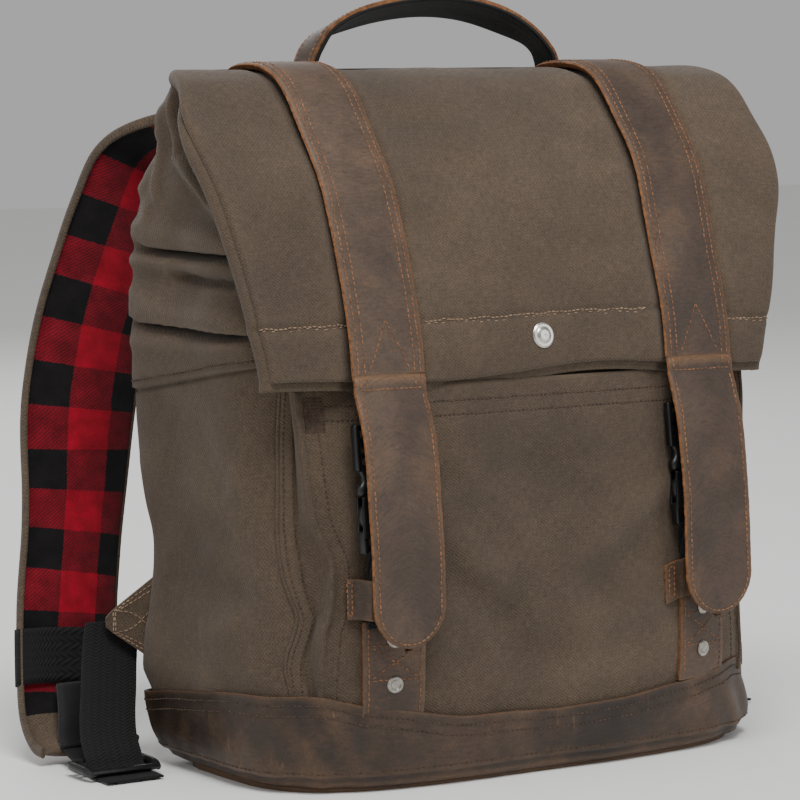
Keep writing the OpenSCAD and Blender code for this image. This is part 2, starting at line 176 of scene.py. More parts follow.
def canvas_material(name, base, light, dark, seed=0.0, amount=1.0):
    k = Nodes(name)
    obj = k.mapping(k.coords("Object"), loc=(seed, seed * 0.7, seed * 1.3))
    uv = k.coords("UV")
    big = k.noise(obj, 7.0, 4.0, 0.6)
    mid = k.noise(obj, 38.0, 4.0, 0.6)
    fu = k.noise(k.mapping(uv, scale=(170.0, 900.0, 1.0)), 1.0, 2.0, 0.65)
    fv = k.noise(k.mapping(uv, scale=(900.0, 170.0, 1.0)), 1.0, 2.0, 0.65)
    thread = k.math("ADD", k.math("MULTIPLY", fu, 0.5), k.math("MULTIPLY", fv, 0.5))
    col = k.ramp(big, [(0.28, dark), (0.5, base), (0.74, light)])
    col = k.mix(k.ramp(mid, [(0.35, (0, 0, 0, 1)), (0.7, (1, 1, 1, 1))]), col, k.mix(0.5, base, light), "MIX") if False else col
    m = k.ramp(mid, [(0.32, (0.90, 0.90, 0.90, 1)), (0.68, (1.10, 1.10, 1.10, 1))])
    col = k.mix(1.0, col, m, "MULTIPLY")
    t = k.ramp(thread, [(0.30, (0.62, 0.62, 0.61, 1)), (0.5, (1.0, 1.0, 1.0, 1)), (0.68, (1.42, 1.41, 1.40, 1))])
    col = k.mix(0.95 * amount, col, t, "MULTIPLY")
    w = weave_height(k, uv, 0.0012)
    sp = k.n("SeparateXYZ", ins={"Vector": uv})
    tw = k.math("SINE", k.math("MULTIPLY", k.math("ADD", k.math("MULTIPLY", sp.outputs[0], 0.55), sp.outputs[1]), 2 * math.pi / 0.0018))
    w = k.math("ADD", k.math("MULTIPLY", w, 0.65), k.math("ADD", k.math("MULTIPLY", tw, 0.17), 0.175))
    col = k.mix(amount, col, k.ramp(w, [(0.18, (0.80, 0.80, 0.80, 1)), (0.5, (1.0, 1.0, 1.0, 1)), (0.82, (1.19, 1.18, 1.17, 1))]), "MULTIPLY")
    geo = k.n("NewGeometry").outputs["Pointiness"]
    edge = k.ramp(geo, [(0.495, (0, 0, 0, 1)), (0.56, (1, 1, 1, 1))])
    col = k.mix(k.math("MULTIPLY", edge, 0.55), col, light, "MIX")
    k.color(col)
    k.rough(k.ramp(mid, [(0.3, (0.74, 0.74, 0.74, 1)), (0.7, (0.90, 0.90, 0.90, 1))]))
    k.b.inputs["Specular IOR Level"].default_value = 0.32
    k.b.inputs["Sheen Weight"].default_value = 0.12
    k.b.inputs["Sheen Roughness"].default_value = 0.5
    h = k.math("ADD", k.math("MULTIPLY", w, 0.7), k.math("MULTIPLY", thread, 0.8))
    n1 = k.bump(h, 0.75, 0.0006)
    n2 = k.bump(k.noise(obj, 95.0, 3.0, 0.6), 0.35, 0.0012, n1)
    k.normal(n2)
    return k.m


canvas = canvas_material("canvas", srgb(75, 62, 49), srgb(90, 76, 61), srgb(63, 52, 41))
canvas_in = canvas_material("canvas_inside", srgb(62, 54, 43), srgb(78, 69, 56), srgb(48, 42, 33), 3.1)


def leather_material(name, base, light, dark, scuff, seed=0.0, scuff_amount=0.35, rough=0.52):
    k = Nodes(name)
    obj = k.mapping(k.coords("Object"), loc=(seed, -seed * 0.6, seed * 1.9))
    big = k.noise(obj, 11.0, 5.0, 0.62, 0.4)
    mid = k.noise(obj, 60.0, 5.0, 0.65, 0.2)
    fine = k.noise(obj, 900.0, 2.0, 0.5)
    col = k.ramp(big, [(0.28, dark), (0.5, base), (0.72, light)])
    m = k.ramp(mid, [(0.30, (0.82, 0.82, 0.82, 1)), (0.70, (1.16, 1.14, 1.12, 1))])
    col = k.mix(1.0, col, m, "MULTIPLY")
    scr = k.noise(k.mapping(obj, scale=(1.0, 1.0, 0.12), rot=(0.3, 0.5, 0.2)), 420.0, 3.0, 0.6)
    sm = k.ramp(scr, [(0.60, (0, 0, 0, 1)), (0.75, (1, 1, 1, 1))])
    patch = k.ramp(k.noise(obj, 19.0, 4.0, 0.6), [(0.52, (0, 0, 0, 1)), (0.72, (1, 1, 1, 1))])
    col = k.mix(k.math("MULTIPLY", k.math("MULTIPLY", sm, patch), scuff_amount * 1.6), col, scuff, "MIX")
    col = k.mix(k.math("MULTIPLY", patch, scuff_amount * 0.4), col, scuff, "MIX")
    geo = k.n("NewGeometry").outputs["Pointiness"]
    edge = k.ramp(geo, [(0.50, (0, 0, 0, 1)), (0.57, (1, 1, 1, 1))])
    col = k.mix(k.math("MULTIPLY", edge, 0.45), col, scuff, "MIX")
    f = k.ramp(fine, [(0.3, (0.80, 0.80, 0.80, 1)), (0.7, (1.18, 1.18, 1.18, 1))])
    col = k.mix(0.9, col, f, "MULTIPLY")
    crk = k.noise(k.mapping(k.coords("UV"), scale=(150.0, 620.0, 1.0)), 1.0, 4.0, 0.7, 0.6)
    col = k.mix(0.85, col, k.ramp(crk, [(0.34, (0.74, 0.73, 0.72, 1)), (0.5, (1.0, 1.0, 1.0, 1)), (0.66, (1.22, 1.18, 1.12, 1))]), "MULTIPLY")
    k.color(col)
    k.rough(k.ramp(mid, [(0.25, (rough - 0.09,) * 3 + (1,)), (0.75, (rough + 0.16,) * 3 + (1,))]))
    k.b.inputs["Specular IOR Level"].default_value = 0.42
    pebble = k.n("TexVoronoi", feature="DISTANCE_TO_EDGE", ins={"Vector": obj, "Scale": 620.0, "Randomness": 1.0}).outputs["Distance"]
    h = k.math("ADD", k.math("MULTIPLY", k.math("MINIMUM", pebble, 0.25), 1.4), k.math("MULTIPLY", fine, 0.5))
    n1 = k.bump(h, 0.35, 0.00030)
    n2 = k.bump(mid, 0.35, 0.0012, n1)
    n3 = k.bump(crk, 0.45, 0.0007, n2)
    k.normal(n3)
    return k.m


strap_leather = leather_material("strap_leather", srgb(68, 54, 44), srgb(90, 72, 58), srgb(48, 38, 31), srgb(128, 96, 66), scuff_amount=0.5)
base_leather = leather_material("base_leather", srgb(47, 36, 28), srgb(74, 56, 42), srgb(30, 23, 18), srgb(126, 94, 64), 2.4, 0.6, 0.48)


def edge_material(name, a, b):
    k = Nodes(name)
    obj = k.coords("Object")
    f = k.noise(obj, 300.0, 4.0, 0.7)
    k.color(k.ramp(f, [(0.3, a), (0.7, b)]))
    k.rough(0.85)
    k.normal(k.bump(k.noise(obj, 1400.0, 2.0), 0.6, 0.0004))
    return k.m


raw_edge = edge_material("raw_leather_edge", srgb(64, 40, 24), srgb(142, 92, 50))
base_edge = edge_material("base_leather_edge", srgb(62, 42, 28), srgb(110, 76, 48))


def thread_material(name, a, b):
    k = Nodes(name)
    obj = k.coords("Object")
    f = k.noise(obj, 160.0, 2.0, 0.6)
    k.color(k.ramp(f, [(0.3, a), (0.7, b)]))
    k.rough(0.75)
    k.normal(k.bump(k.noise(k.mapping(obj, scale=(1, 1, 0.3)), 3600.0, 1.0), 0.5, 0.0002))
    return k.m


thread_tan = thread_material("thread_tan", srgb(84, 55, 36), srgb(150, 103, 68))
thread_brown = thread_material("thread_brown", srgb(36, 26, 20), srgb(82, 62, 46))
thread_beige = thread_material("thread_beige", srgb(104, 78, 60), srgb(156, 134, 110))
thread_black = thread_material("thread_black", srgb(14, 14, 14), srgb(30, 30, 30))


def webbing_material(name, lo, hi, rib=0.0021):
    k = Nodes(name)
    uv = k.coords("UV")
    sep = k.n("SeparateXYZ", ins={"Vector": uv})
    u, v = sep.outputs[0], sep.outputs[1]
    chev = k.math("PINGPONG", k.math("MULTIPLY", u, 1.0), 0.0048)
    ph = k.math("MULTIPLY", k.math("ADD", v, k.math("MULTIPLY", chev, 0.55)), 2 * math.pi / rib)
    w = k.math("ADD", k.math("MULTIPLY", k.math("SINE", ph), 0.5), 0.5)
    cw = k.math("ADD", k.math("MULTIPLY", k.math("SINE", k.math("MULTIPLY", u, 2 * math.pi / 0.0048)), 0.5), 0.5)
    h = k.math("ADD", k.math("MULTIPLY", w, 0.7), k.math("MULTIPLY", cw, 0.3))
    f = k.noise(k.mapping(uv, scale=(3000.0, 900.0, 1.0)), 1.0, 2.0)
    hh = k.math("ADD", h, k.math("MULTIPLY", f, 0.5))
    k.color(k.ramp(hh, [(0.2, lo), (1.2 / 1.5, hi)]))
    k.rough(0.8)
    k.b.inputs["Specular IOR Level"].default_value = 0.25
    k.b.inputs["Sheen Weight"].default_value = 0.04
    k.normal(k.bump(hh, 0.8, 0.0006))
    return k.m


webbing = webbing_material("webbing_black", srgb(6, 6, 6), srgb(28, 27, 28))
webbing_fine = webbing_material("webbing_handle", srgb(7, 7, 7), srgb(28, 28, 28), 0.0016)


def plastic_material(name):
    k = Nodes(name)
    obj = k.coords("Object")
    f = k.noise(obj, 520.0, 3.0, 0.6)
    k.color(k.ramp(k.noise(obj, 90.0, 3.0), [(0.3, srgb(10, 10, 11)), (0.7, srgb(19, 19, 20))]))
    k.rough(k.ramp(f, [(0.3, (0.34,) * 3 + (1,)), (0.7, (0.46,) * 3 + (1,))]))
    k.normal(k.bump(f, 0.18, 0.0003))
    return k.m


plastic = plastic_material("buckle_plastic")


def metal_material(name, a, b, rough):
    k = Nodes(name)
    obj = k.coords("Object")
    f = k.noise(obj, 260.0, 4.0, 0.6)
    k.color(k.ramp(f, [(0.3, a), (0.7, b)]))
    k.b.inputs["Metallic"].default_value = 1.0
    k.rough(k.ramp(f, [(0.3, (rough,) * 3 + (1,)), (0.7, (rough + 0.14,) * 3 + (1,))]))
    k.normal(k.bump(k.noise(obj, 1600.0, 2.0), 0.12, 0.0002))
    return k.m


metal = metal_material("nickel", srgb(176, 172, 164), srgb(214, 211, 204), 0.22)
metal_mid = metal_material("nickel_worn", srgb(134, 130, 122), srgb(182, 178, 170), 0.3)
metal_dark = metal_material("nickel_dark", srgb(108, 102, 94), srgb(150, 144, 134), 0.34)


def plaid_material(name, q=0.025):
    k = Nodes(name)
    uv = k.coords("UV")
    fuzz = k.n("TexNoise", ins={"Vector": uv, "Scale": 700.0, "Detail": 2.0}).outputs["Color"]
    off = k.n("VectorMath", operation="SCALE", ins={0: k.n("VectorMath", operation="SUBTRACT", ins={0: fuzz, 1: (0.5, 0.5, 0.5)}).outputs[0], "Scale": 0.0016}).outputs[0]
    vec = k.n("VectorMath", operation="ADD", ins={0: uv, 1: off}).outputs[0]
    sep = k.n("SeparateXYZ", ins={"Vector": vec})
    def band(x):
        return k.math("GREATER_THAN", k.math("FRACT", k.math("MULTIPLY", x, 1 / (2 * q))), 0.5)
    bu, bv = band(sep.outputs[0]), band(sep.outputs[1])
    s = k.math("ADD", bu, bv)          # 0 red, 1 mixed, 2 black
    tw = k.math("GREATER_THAN", k.math("FRACT", k.math("MULTIPLY", k.math("ADD", sep.outputs[0], sep.outputs[1]), 1 / 0.0024)), 0.5)
    red = k.ramp(k.noise(uv, 90.0, 3.0), [(0.3, srgb(128, 3, 26)), (0.7, srgb(168, 10, 40))])
    blk = k.ramp(k.noise(uv, 90.0, 3.0), [(0.3, srgb(10, 8, 10)), (0.7, srgb(22, 18, 21))])
    dark = k.mix(tw, k.mix(0.30, blk, red), k.mix(0.62, blk, red))
    is1 = k.math("GREATER_THAN", s, 0.5)
    is2 = k.math("GREATER_THAN", s, 1.5)
    col = k.mix(is1, red, dark)
    col = k.mix(is2, col, blk)
    nap = k.noise(k.mapping(uv, scale=(1400.0, 500.0, 1.0), rot=(0, 0, 0.6)), 1.0, 3.0, 0.7)
    col = k.mix(0.8, col, k.ramp(nap, [(0.3, (0.78, 0.78, 0.78, 1)), (0.7, (1.22, 1.2, 1.2, 1))]), "MULTIPLY")
    k.color(col)
    k.rough(0.95)
    k.b.inputs["Specular IOR Level"].default_value = 0.15
    k.b.inputs["Sheen Weight"].default_value = 0.08
    k.b.inputs["Sheen Roughness"].default_value = 0.6
    n1 = k.bump(nap, 0.5, 0.0006)
    k.normal(k.bump(k.noise(uv, 60.0, 3.0), 0.5, 0.002, n1))
    return k.m


plaid = plaid_material("plaid_flannel")
twill = canvas_material("black_twill", srgb(24, 23, 24), srgb(38, 37, 38), srgb(14, 14, 14), 5.0, 0.7)


# ------------------------------------------------------------------ profile tables (mm), as in the CAD source
def table(T):
    z = np.array([p[0] for p in T], float); y = np.array([p[1] for p in T], float)
    h = np.diff(z); d = np.diff(y) / h
    m = np.zeros(len(z)); m[0], m[-1] = d[0], d[-1]
    for i in range(1, len(z) - 1):
        m[i] = 0 if d[i - 1] * d[i] <= 0 else 2 * d[i - 1] * d[i] / (d[i - 1] + d[i])
    def f(q):
        q = np.clip(np.asarray(q, float), z[0], z[-1])
        i = np.clip(np.searchsorted(z, q, side="right") - 1, 0, len(z) - 2)
        t = (q - z[i]) / h[i]
        return ((2 * t**3 - 3 * t**2 + 1) * y[i] + (t**3 - 2 * t**2 + t) * h[i] * m[i]
                + (-2 * t**3 + 3 * t**2) * y[i + 1] + (t**3 - t**2) * h[i] * m[i + 1])
    return f


PA = table([[0,166],[4,172],[12,178],[30,181],[55,181],[90,178],[130,177],[180,183],[235,189],[300,190],[350,187],[392,184],[410,182]])
PF = table([[0,-74],[4,-80],[12,-82],[30,-82.5],[55,-81.5],[70,-75],[90,-72],[130,-69],[180,-65],[215,-62],[233,-62.5],[250,-62],[276,-58.5],[300,-51],[340,-35.5],[366,-19.5],[392,2.5]])
PB = table([[0,68],[4,75],[12,80],[55,84],[130,86],[235,84],[300,81],[350,77],[380,72],[400,62],[409,54]])
PP = table([[0,-84],[56,-86],[90,-86],[130,-84.5],[156,-82.5],[180,-80],[205,-76.5],[226,-72],[245,-68]])
NF = table([[0,3.6],[215,3.6],[262,7.5],[420,9]])
YC = 10.0


def spow(v, p):
    return np.sign(v) * np.abs(v) ** p


def fy(x, z, yf, n=3.6):
    a = PA(z)
    return YC - (YC - yf) * (1 - np.minimum(0.999, np.abs(x) / a) ** n) ** (1 / n)


def py(x, z):
    return fy(x, z, PP(z))


def by(x, z):
    a = PA(z)
    return YC + (PB(z) - YC) * (1 - np.minimum(0.999, np.abs(x) / a) ** 5) ** 0.2


_K = rng.normal(size=(24, 3)); _K /= np.linalg.norm(_K, axis=1)[:, None]
_PH = rng.uniform(0, 6.28, 24); _FR = rng.uniform(0.6, 1.7, 24)


def wav(P, scale, seed=0):
    """Smooth seeded undulation, about -1 to 1, of size scale (mm)."""
    P = np.asarray(P, float)
    out = 0
    for i in range(10):
        j = (i * 7 + seed * 3) % 24
        out = out + np.sin((P @ _K[j]) * (6.28 / scale) * _FR[(j + seed) % 24] + _PH[(j + seed * 5) % 24])
    return out / 4.0


def bellf(x, c, w):
    return np.exp(-((np.asarray(x, float) - c) / w) ** 2)


def sstep(x, a, b):
    t = np.clip((np.asarray(x, float) - a) / (b - a), 0, 1)
    return t * t * (3 - 2 * t)


# ------------------------------------------------------------------ mesh builder (all input in mm)
class MB:
    def __init__(self):
        self.v, self.f, self.m, self.uv, self.sm = [], [], [], [], []
        self.nv = 0

    def add(self, verts, faces, mats, uvs, smooth=True):
        verts = np.asarray(verts, float).reshape(-1, 3)
        for f, mm, u in zip(faces, mats, uvs):
            self.f.append([i + self.nv for i in f]); self.m.append(mm); self.uv.append(u); self.sm.append(smooth)
        self.v.append(verts); self.nv += len(verts)

    def grid(self, P, mat, UV, closed=False, flip=False):
        R, C = P.shape[:2]
        faces, uvs = [], []
        CC = C if closed else C - 1
        for r in range(R - 1):
            for c in range(CC):
                c2 = (c + 1) % C
                q = [r * C + c, r * C + c2, (r + 1) * C + c2, (r + 1) * C + c]
                cu = c + 1
                u = [UV[r][c], UV[r][cu if closed else c2], UV[r + 1][cu if closed else c2], UV[r + 1][c]]
                if flip:
                    q, u = q[::-1], u[::-1]
                faces.append(q); uvs.append(u)
        mats = [mat] * len(faces) if not callable(mat) else [mat(i // CC, i % CC) for i in range(len(faces))]
        self.add(P.reshape(-1, 3), faces, mats, uvs)

    def solid(self, P, N, t, UV, m_out=0, m_in=0, m_edge=0, closed=False, below=None):
        """Sheet with thickness t below its outer grid P."""
        Q = P - N * (t if np.isscalar(t) else np.asarray(t)[..., None])
        if below is not None:
            Q = below
        R, C = P.shape[:2]
        V = np.concatenate([P.reshape(-1, 3), Q.reshape(-1, 3)])
        o = R * C
        faces, mats, uvs = [], [], []
        CC = C if closed else C - 1
        for r in range(R - 1):
            for c in range(CC):
                c2 = (c + 1) % C; cu = c + 1 if closed else c2
                a, b, d, e = r * C + c, r * C + c2, (r + 1) * C + c2, (r + 1) * C + c
                u = [UV[r][c], UV[r][cu], UV[r + 1][cu], UV[r + 1][c]]
                faces.append([a, b, d, e]); mats.append(m_out if not callable(m_out) else m_out(r, c)); uvs.append(u)
                faces.append([o + e, o + d, o + b, o + a]); mats.append(m_in); uvs.append(u[::-1])
        def strip(idx, uvl, rev):
            for i in range(len(idx) - 1):
                a, b = idx[i], idx[i + 1]
                q = [a, o + a, o + b, b]; u = [uvl[i], (uvl[i][0] + t0, uvl[i][1] + t0), (uvl[i + 1][0] + t0, uvl[i + 1][1] + t0), uvl[i + 1]]
                if rev:
                    q, u = q[::-1], u[::-1]
                faces.append(q); mats.append(m_edge); uvs.append(u)
        t0 = 0.0025
        rows0 = [c for c in range(C)] + ([0] if closed else [])
        rowsR = [(R - 1) * C + c for c in range(C)] + ([(R - 1) * C] if closed else [])
        strip(rows0, [UV[0][min(i, len(UV[0]) - 1)] for i in range(len(rows0))], False)
        strip(rowsR, [UV[R - 1][min(i, len(UV[0]) - 1)] for i in range(len(rowsR))], True)
        if not closed:
            strip([r * C for r in range(R)], [UV[r][0] for r in range(R)], True)
            strip([r * C + C - 1 for r in range(R)], [UV[r][C - 1] for r in range(R)], False)
        self.add(V, faces, mats, uvs)

    def tube(self, pts, r, mat, sides=8, caps=True, squash=1.0, nrm=None):
        pts = np.asarray(pts, float); n = len(pts)
        T = np.gradient(pts, axis=0); T /= np.linalg.norm(T, axis=1)[:, None] + 1e-12
        up = np.array([0, 0, 1.0]) if nrm is None else None
        rings = []
        r = np.broadcast_to(np.asarray(r, float), (n,))
        prev = None
        for i in range(n):
            a = nrm[i] if nrm is not None else (prev if prev is not None else (up if abs(T[i] @ up) < 0.9 else np.array([1.0, 0, 0])))
            a = a - T[i] * (a @ T[i]); a /= np.linalg.norm(a) + 1e-12; prev = a
            b = np.cross(T[i], a)
            ang = np.arange(sides) * 2 * math.pi / sides
            rings.append(pts[i] + r[i] * (np.cos(ang)[:, None] * a * squash + np.sin(ang)[:, None] * b))
        P = np.array(rings)
        L = np.concatenate([[0], np.cumsum(np.linalg.norm(np.diff(pts, axis=0), axis=1))]) * MM
        UV = [[(c * 2 * math.pi * r[i] / sides * MM, L[i]) for c in range(sides + 1)] for i in range(n)]
        self.grid(P, mat, UV, closed=True, flip=True)
        if caps:
            for k, rev in ((0, False), (n - 1, True)):
                cen = pts[k] + (T[k] * (-0.35 if k == 0 else 0.35)) * r[k]
                vs = np.concatenate([P[k], cen[None]])
                fs = [[c, (c + 1) % sides, sides] for c in range(sides)]
                if rev:
                    fs = [f[::-1] for f in fs]
                self.add(vs, fs, [mat] * sides, [[(0, 0)] * 3] * sides)

    def stitch(self, p, d, n, L=2.5, r=0.36, mat=3):
        """One thread stitch lying on a surface at p, along d, with normal n."""
        d = d / (np.linalg.norm(d) + 1e-12); n = n - d * (n @ d); n = n / (np.linalg.norm(n) + 1e-12); b = np.cross(d, n)
        rings = []
        r = r * 1.25
        for s, h, q in ((-0.5, -0.55, 0.45), (-0.40, 0.05, 0.95), (0.0, 0.30, 1.05), (0.40, 0.05, 0.95), (0.5, -0.55, 0.45)):
            c = p + d * (s * L) + n * (h * r)
            ang = np.arange(6) * math.pi / 3
            rings.append(c + q * r * (np.cos(ang)[:, None] * n + np.sin(ang)[:, None] * b))
        o = self.nv
        P = np.array(rings)
        self.grid(P, mat, [[(0, 0)] * 7] * 5, closed=True, flip=True)
        for q in ([0, 1, 2, 3, 4, 5], [29, 28, 27, 26, 25, 24]):
            self.f.append([o + i for i in q]); self.m.append(mat); self.uv.append([(0, 0)] * 6); self.sm.append(True)

    def stitches(self, S, uv, pitch=3.4, L=2.5, r=0.36, mat=3, lift=0.0, jitter=0.12):
        """A row of stitches along the polyline uv on surface S."""
        uv = np.asarray(uv, float)
        fine = []
        for a, b in zip(uv[:-1], uv[1:]):
            k = max(2, int(np.linalg.norm(S.scale(b - a)) / 2.0) + 1)
            fine += [a + (b - a) * i / k for i in range(k)]
        fine.append(uv[-1])
        Q = np.array([S.at(u, v)[0] for u, v in fine]); NN = np.array([S.at(u, v)[1] for u, v in fine])
        L0 = np.concatenate([[0], np.cumsum(np.linalg.norm(np.diff(Q, axis=0), axis=1))])
        tot = L0[-1]
        if tot < pitch:
            return
        cnt = int(tot / pitch); step = tot / cnt
        for i in range(cnt):
            s = (i + 0.5) * step
            p = np.array([np.interp(s, L0, Q[:, j]) for j in range(3)])
            pa = np.array([np.interp(max(0, s - 1.2), L0, Q[:, j]) for j in range(3)])
            pb = np.array([np.interp(min(tot, s + 1.2), L0, Q[:, j]) for j in range(3)])
            n = np.array([np.interp(s, L0, NN[:, j]) for j in range(3)])
            d = pb - pa
            if np.linalg.norm(d) < 1e-6:
                continue
            sd = np.cross(d / np.linalg.norm(d), n)
            self.stitch(p + n * lift + sd * rng.normal() * jitter, d + sd * rng.normal() * 0.10, n, L * (0.94 + 0.12 * rng.random()), r, mat)

    def obj(self, name, mats, bevel=0.0, segs=2, subsurf=0, angle=40):
        V = np.concatenate(self.v) * MM
        me = bpy.data.meshes.new(name)
        me.from_pydata(V.tolist(), [], self.f)
        for m in mats:
            me.materials.append(m)
        me.polygons.foreach_set("material_index", np.array(self.m, np.int32))
        me.polygons.foreach_set("use_smooth", np.array(self.sm, bool))
        uvl = me.uv_layers.new(name="UVMap")
        flat = np.array([c for u in self.uv for p in u for c in p], np.float32)
        uvl.data.foreach_set("uv", flat)
        me.validate(clean_customdata=False)
        me.update()
        o = bpy.data.objects.new(name, me)
        scene.collection.objects.link(o)
        if bevel:
            b = o.modifiers.new("bevel", "BEVEL"); b.width = bevel * MM; b.segments = segs; b.limit_method = "ANGLE"; b.angle_limit = math.radians(angle)
            b.harden_normals = False
        if subsurf:
            s = o.modifiers.new("sub", "SUBSURF"); s.levels = s.render_levels = subsurf
        return o


def normals(P, closed=False):
    if closed:
        du = np.roll(P, -1, 1) - np.roll(P, 1, 1)
    else:
        du = np.gradient(P, axis=1)
    dv = np.gradient(P, axis=0)
    N = np.cross(du, dv)
    return N / (np.linalg.norm(N, axis=2)[..., None] + 1e-12)


class Surf:
    """A grid surface with parameters u (columns) and v (rows), in mm."""

    def __init__(self, P, U, V, closed=False, flip=False):
        self.P, self.U, self.V = P, np.asarray(U, float), np.asarray(V, float)
        self.N = normals(P, closed) * (-1 if flip else 1)

    def at(self, u, v):
        j = np.interp(u, self.U, np.arange(len(self.U))); i = np.interp(v, self.V, np.arange(len(self.V))) if self.V[-1] > self.V[0] else np.interp(-v, -self.V, np.arange(len(self.V)))
        i0, j0 = min(int(i), len(self.V) - 2), min(int(j), len(self.U) - 2)
        a, b = i - i0, j - j0
        w = ((1 - a) * (1 - b), (1 - a) * b, a * (1 - b), a * b)
        def lerp(G):
            return w[0] * G[i0, j0] + w[1] * G[i0, j0 + 1] + w[2] * G[i0 + 1, j0] + w[3] * G[i0 + 1, j0 + 1]
        n = lerp(self.N)
        return lerp(self.P), n / (np.linalg.norm(n) + 1e-12)

    def scale(self, d):
        return d

    def uv(self):
        """UV in metres from the mean lengths of rows and columns."""
        P = self.P
        lu = np.concatenate([np.zeros((P.shape[0], 1)), np.cumsum(np.linalg.norm(np.diff(P, axis=1), axis=2), axis=1)], axis=1)
        lv = np.concatenate([np.zeros((1, P.shape[1])), np.cumsum(np.linalg.norm(np.diff(P, axis=0), axis=2), axis=0)], axis=0)
        lu = lu - lu[:, [P.shape[1] // 2]]
        return [[(lu[r, c] * MM, lv[r, c] * MM) for c in range(P.shape[1])] for r in range(P.shape[0])]


def spline(pts, n, closed=False):
    """n points evenly along a smooth curve through pts."""
    pts = np.asarray(pts, float)
    t = np.concatenate([[0], np.cumsum(np.linalg.norm(np.diff(pts, axis=0), axis=1) ** 0.5)])
    m = np.zeros_like(pts)
    for i in range(len(pts)):
        a, b = max(0, i - 1), min(len(pts) - 1, i + 1)
        m[i] = (pts[b] - pts[a]) / (t[b] - t[a])
    q = np.linspace(0, t[-1], n * 12)
    i = np.clip(np.searchsorted(t, q, side="right") - 1, 0, len(t) - 2)
    h = (t[i + 1] - t[i])[:, None]; s = ((q - t[i]) / (t[i + 1] - t[i]))[:, None]
    C = ((2*s**3-3*s**2+1)*pts[i] + (s**3-2*s**2+s)*h*m[i] + (-2*s**3+3*s**2)*pts[i+1] + (s**3-s**2)*h*m[i+1])
    L = np.concatenate([[0], np.cumsum(np.linalg.norm(np.diff(C, axis=0), axis=1))])
    e = np.linspace(0, L[-1], n)
    return np.stack([np.interp(e, L, C[:, k]) for k in range(pts.shape[1])], 1)


def grid_uv(R, C, us, vs):
    return [[(us[c] * MM, vs[r] * MM) for c in range(C)] for r in range(R)]


FT = [[54,409.6],[40,411.5],[24,411],[12,408.5],[4,405]]
FM = [[4,405],[-7,394],[-29,366],[-45,340],[-60,300],[-68,276],[-73,250],[-75,233]]
SLOT = {"canvas": "canvas", "strap": "strap_leather", "base": "base_leather", "web": "webbing", "plastic": "buckle_plastic", "metal": "metal", "plaid": "plaid"}
made = {}


def finish_piece(mb, name, mats, slot, body=None, blend=None, **kw):
    o = mb.obj(name, mats, **kw)
    made[name] = o
    if body:
        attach(o, body)
    if blend:
        a, b, p, q = blend
        tuple(v * MM for v in p)
        tuple(v * MM for v in q)
        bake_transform(o)
    return o


def piece_area(P):
    return float(np.sum(np.linalg.norm(np.cross(np.diff(P, axis=0)[:, :-1], np.diff(P, axis=1)[:-1]), axis=2))) * 1e-6


def sheet_of(P):
    """Work out the width, length and area that a cloth piece's own grid is cut to; nothing is kept."""
    w = np.linalg.norm(np.diff(P, axis=1), axis=2).sum(1).max() * MM
    l = np.linalg.norm(np.diff(P, axis=0), axis=2).sum(0).max() * MM
    round(piece_area(P), 5)


def surf(P, U, V, out):
    """Grid surface whose normal follows the direction out."""
    N = normals(P)
    if np.sum(N * out) < 0:
        P, V = P[::-1], np.asarray(V)[::-1]
    return Surf(P, U, V)


def ridge(y, z, poly, w, amp, taper=0.12):
    """Height of a soft ridge along a polyline in a plane."""
    poly = np.asarray(poly, float)
    seg = np.diff(poly, axis=0); L = np.linalg.norm(seg, axis=1); tot = L.sum(); acc = 0
    best = np.full(np.shape(y), 1e9); sb = np.zeros(np.shape(y))
    for p, d, l in zip(poly[:-1], seg, L):
        t = np.clip(((y - p[0]) * d[0] + (z - p[1]) * d[1]) / l**2, 0, 1)
        q = np.hypot(y - p[0] - t * d[0], z - p[1] - t * d[1])
        m = q < best
        best = np.where(m, q, best); sb = np.where(m, (acc + t * l) / tot, sb); acc += l
    e = np.clip(sb / taper, 0, 1) * np.clip((1 - sb) / taper, 0, 1)
    e = np.where(best > 0, 0.25 + 0.75 * e, 1) if taper else 1.0
    return amp * e * np.exp(-(best / w) ** 2)


# ---- closed section of the bag, evenly spaced along its length
def section(z, off, n_pts, front=PF, back_t=PB, wide=PA, nf=None, nb=5.0):
    t = np.linspace(-math.pi / 2, 1.5 * math.pi, 1441)
    c, s = np.cos(t), np.sin(t)
    n = np.where(s < 0, NF(z) if nf is None else nf, nb)
    a = wide(z) - off
    b = np.where(s < 0, YC - front(z) - off, back_t(z) - YC - off)
    n = np.where(s < 0, n, 11.0)
    x, y = a * spow(c, 2 / n), YC + b * spow(s, 2 / n)
    soft = YC + b * (1 - np.minimum(0.999, np.abs(x) / a) ** 5) ** 0.2
    y = np.where(s < 0, y, y + (np.minimum(soft, y) - y) * (1 - sstep(np.abs(x), 136, 172)))
    L = np.concatenate([[0], np.cumsum(np.hypot(np.diff(x), np.diff(y)))])
    q = np.linspace(0, L[-1], n_pts + 1)[:-1]
    return np.stack([np.interp(q, L, x), np.interp(q, L, y)], 1), L[-1]


def closed_surf(rows_z, off, n_pts, **kw):
    P, Ls = [], []
    for z in rows_z:
        r, L = section(z, off(z) if callable(off) else off, n_pts, **kw)
        P.append(np.column_stack([r, np.full(n_pts, z)])); Ls.append(L)
    return np.array(P), np.array(Ls)


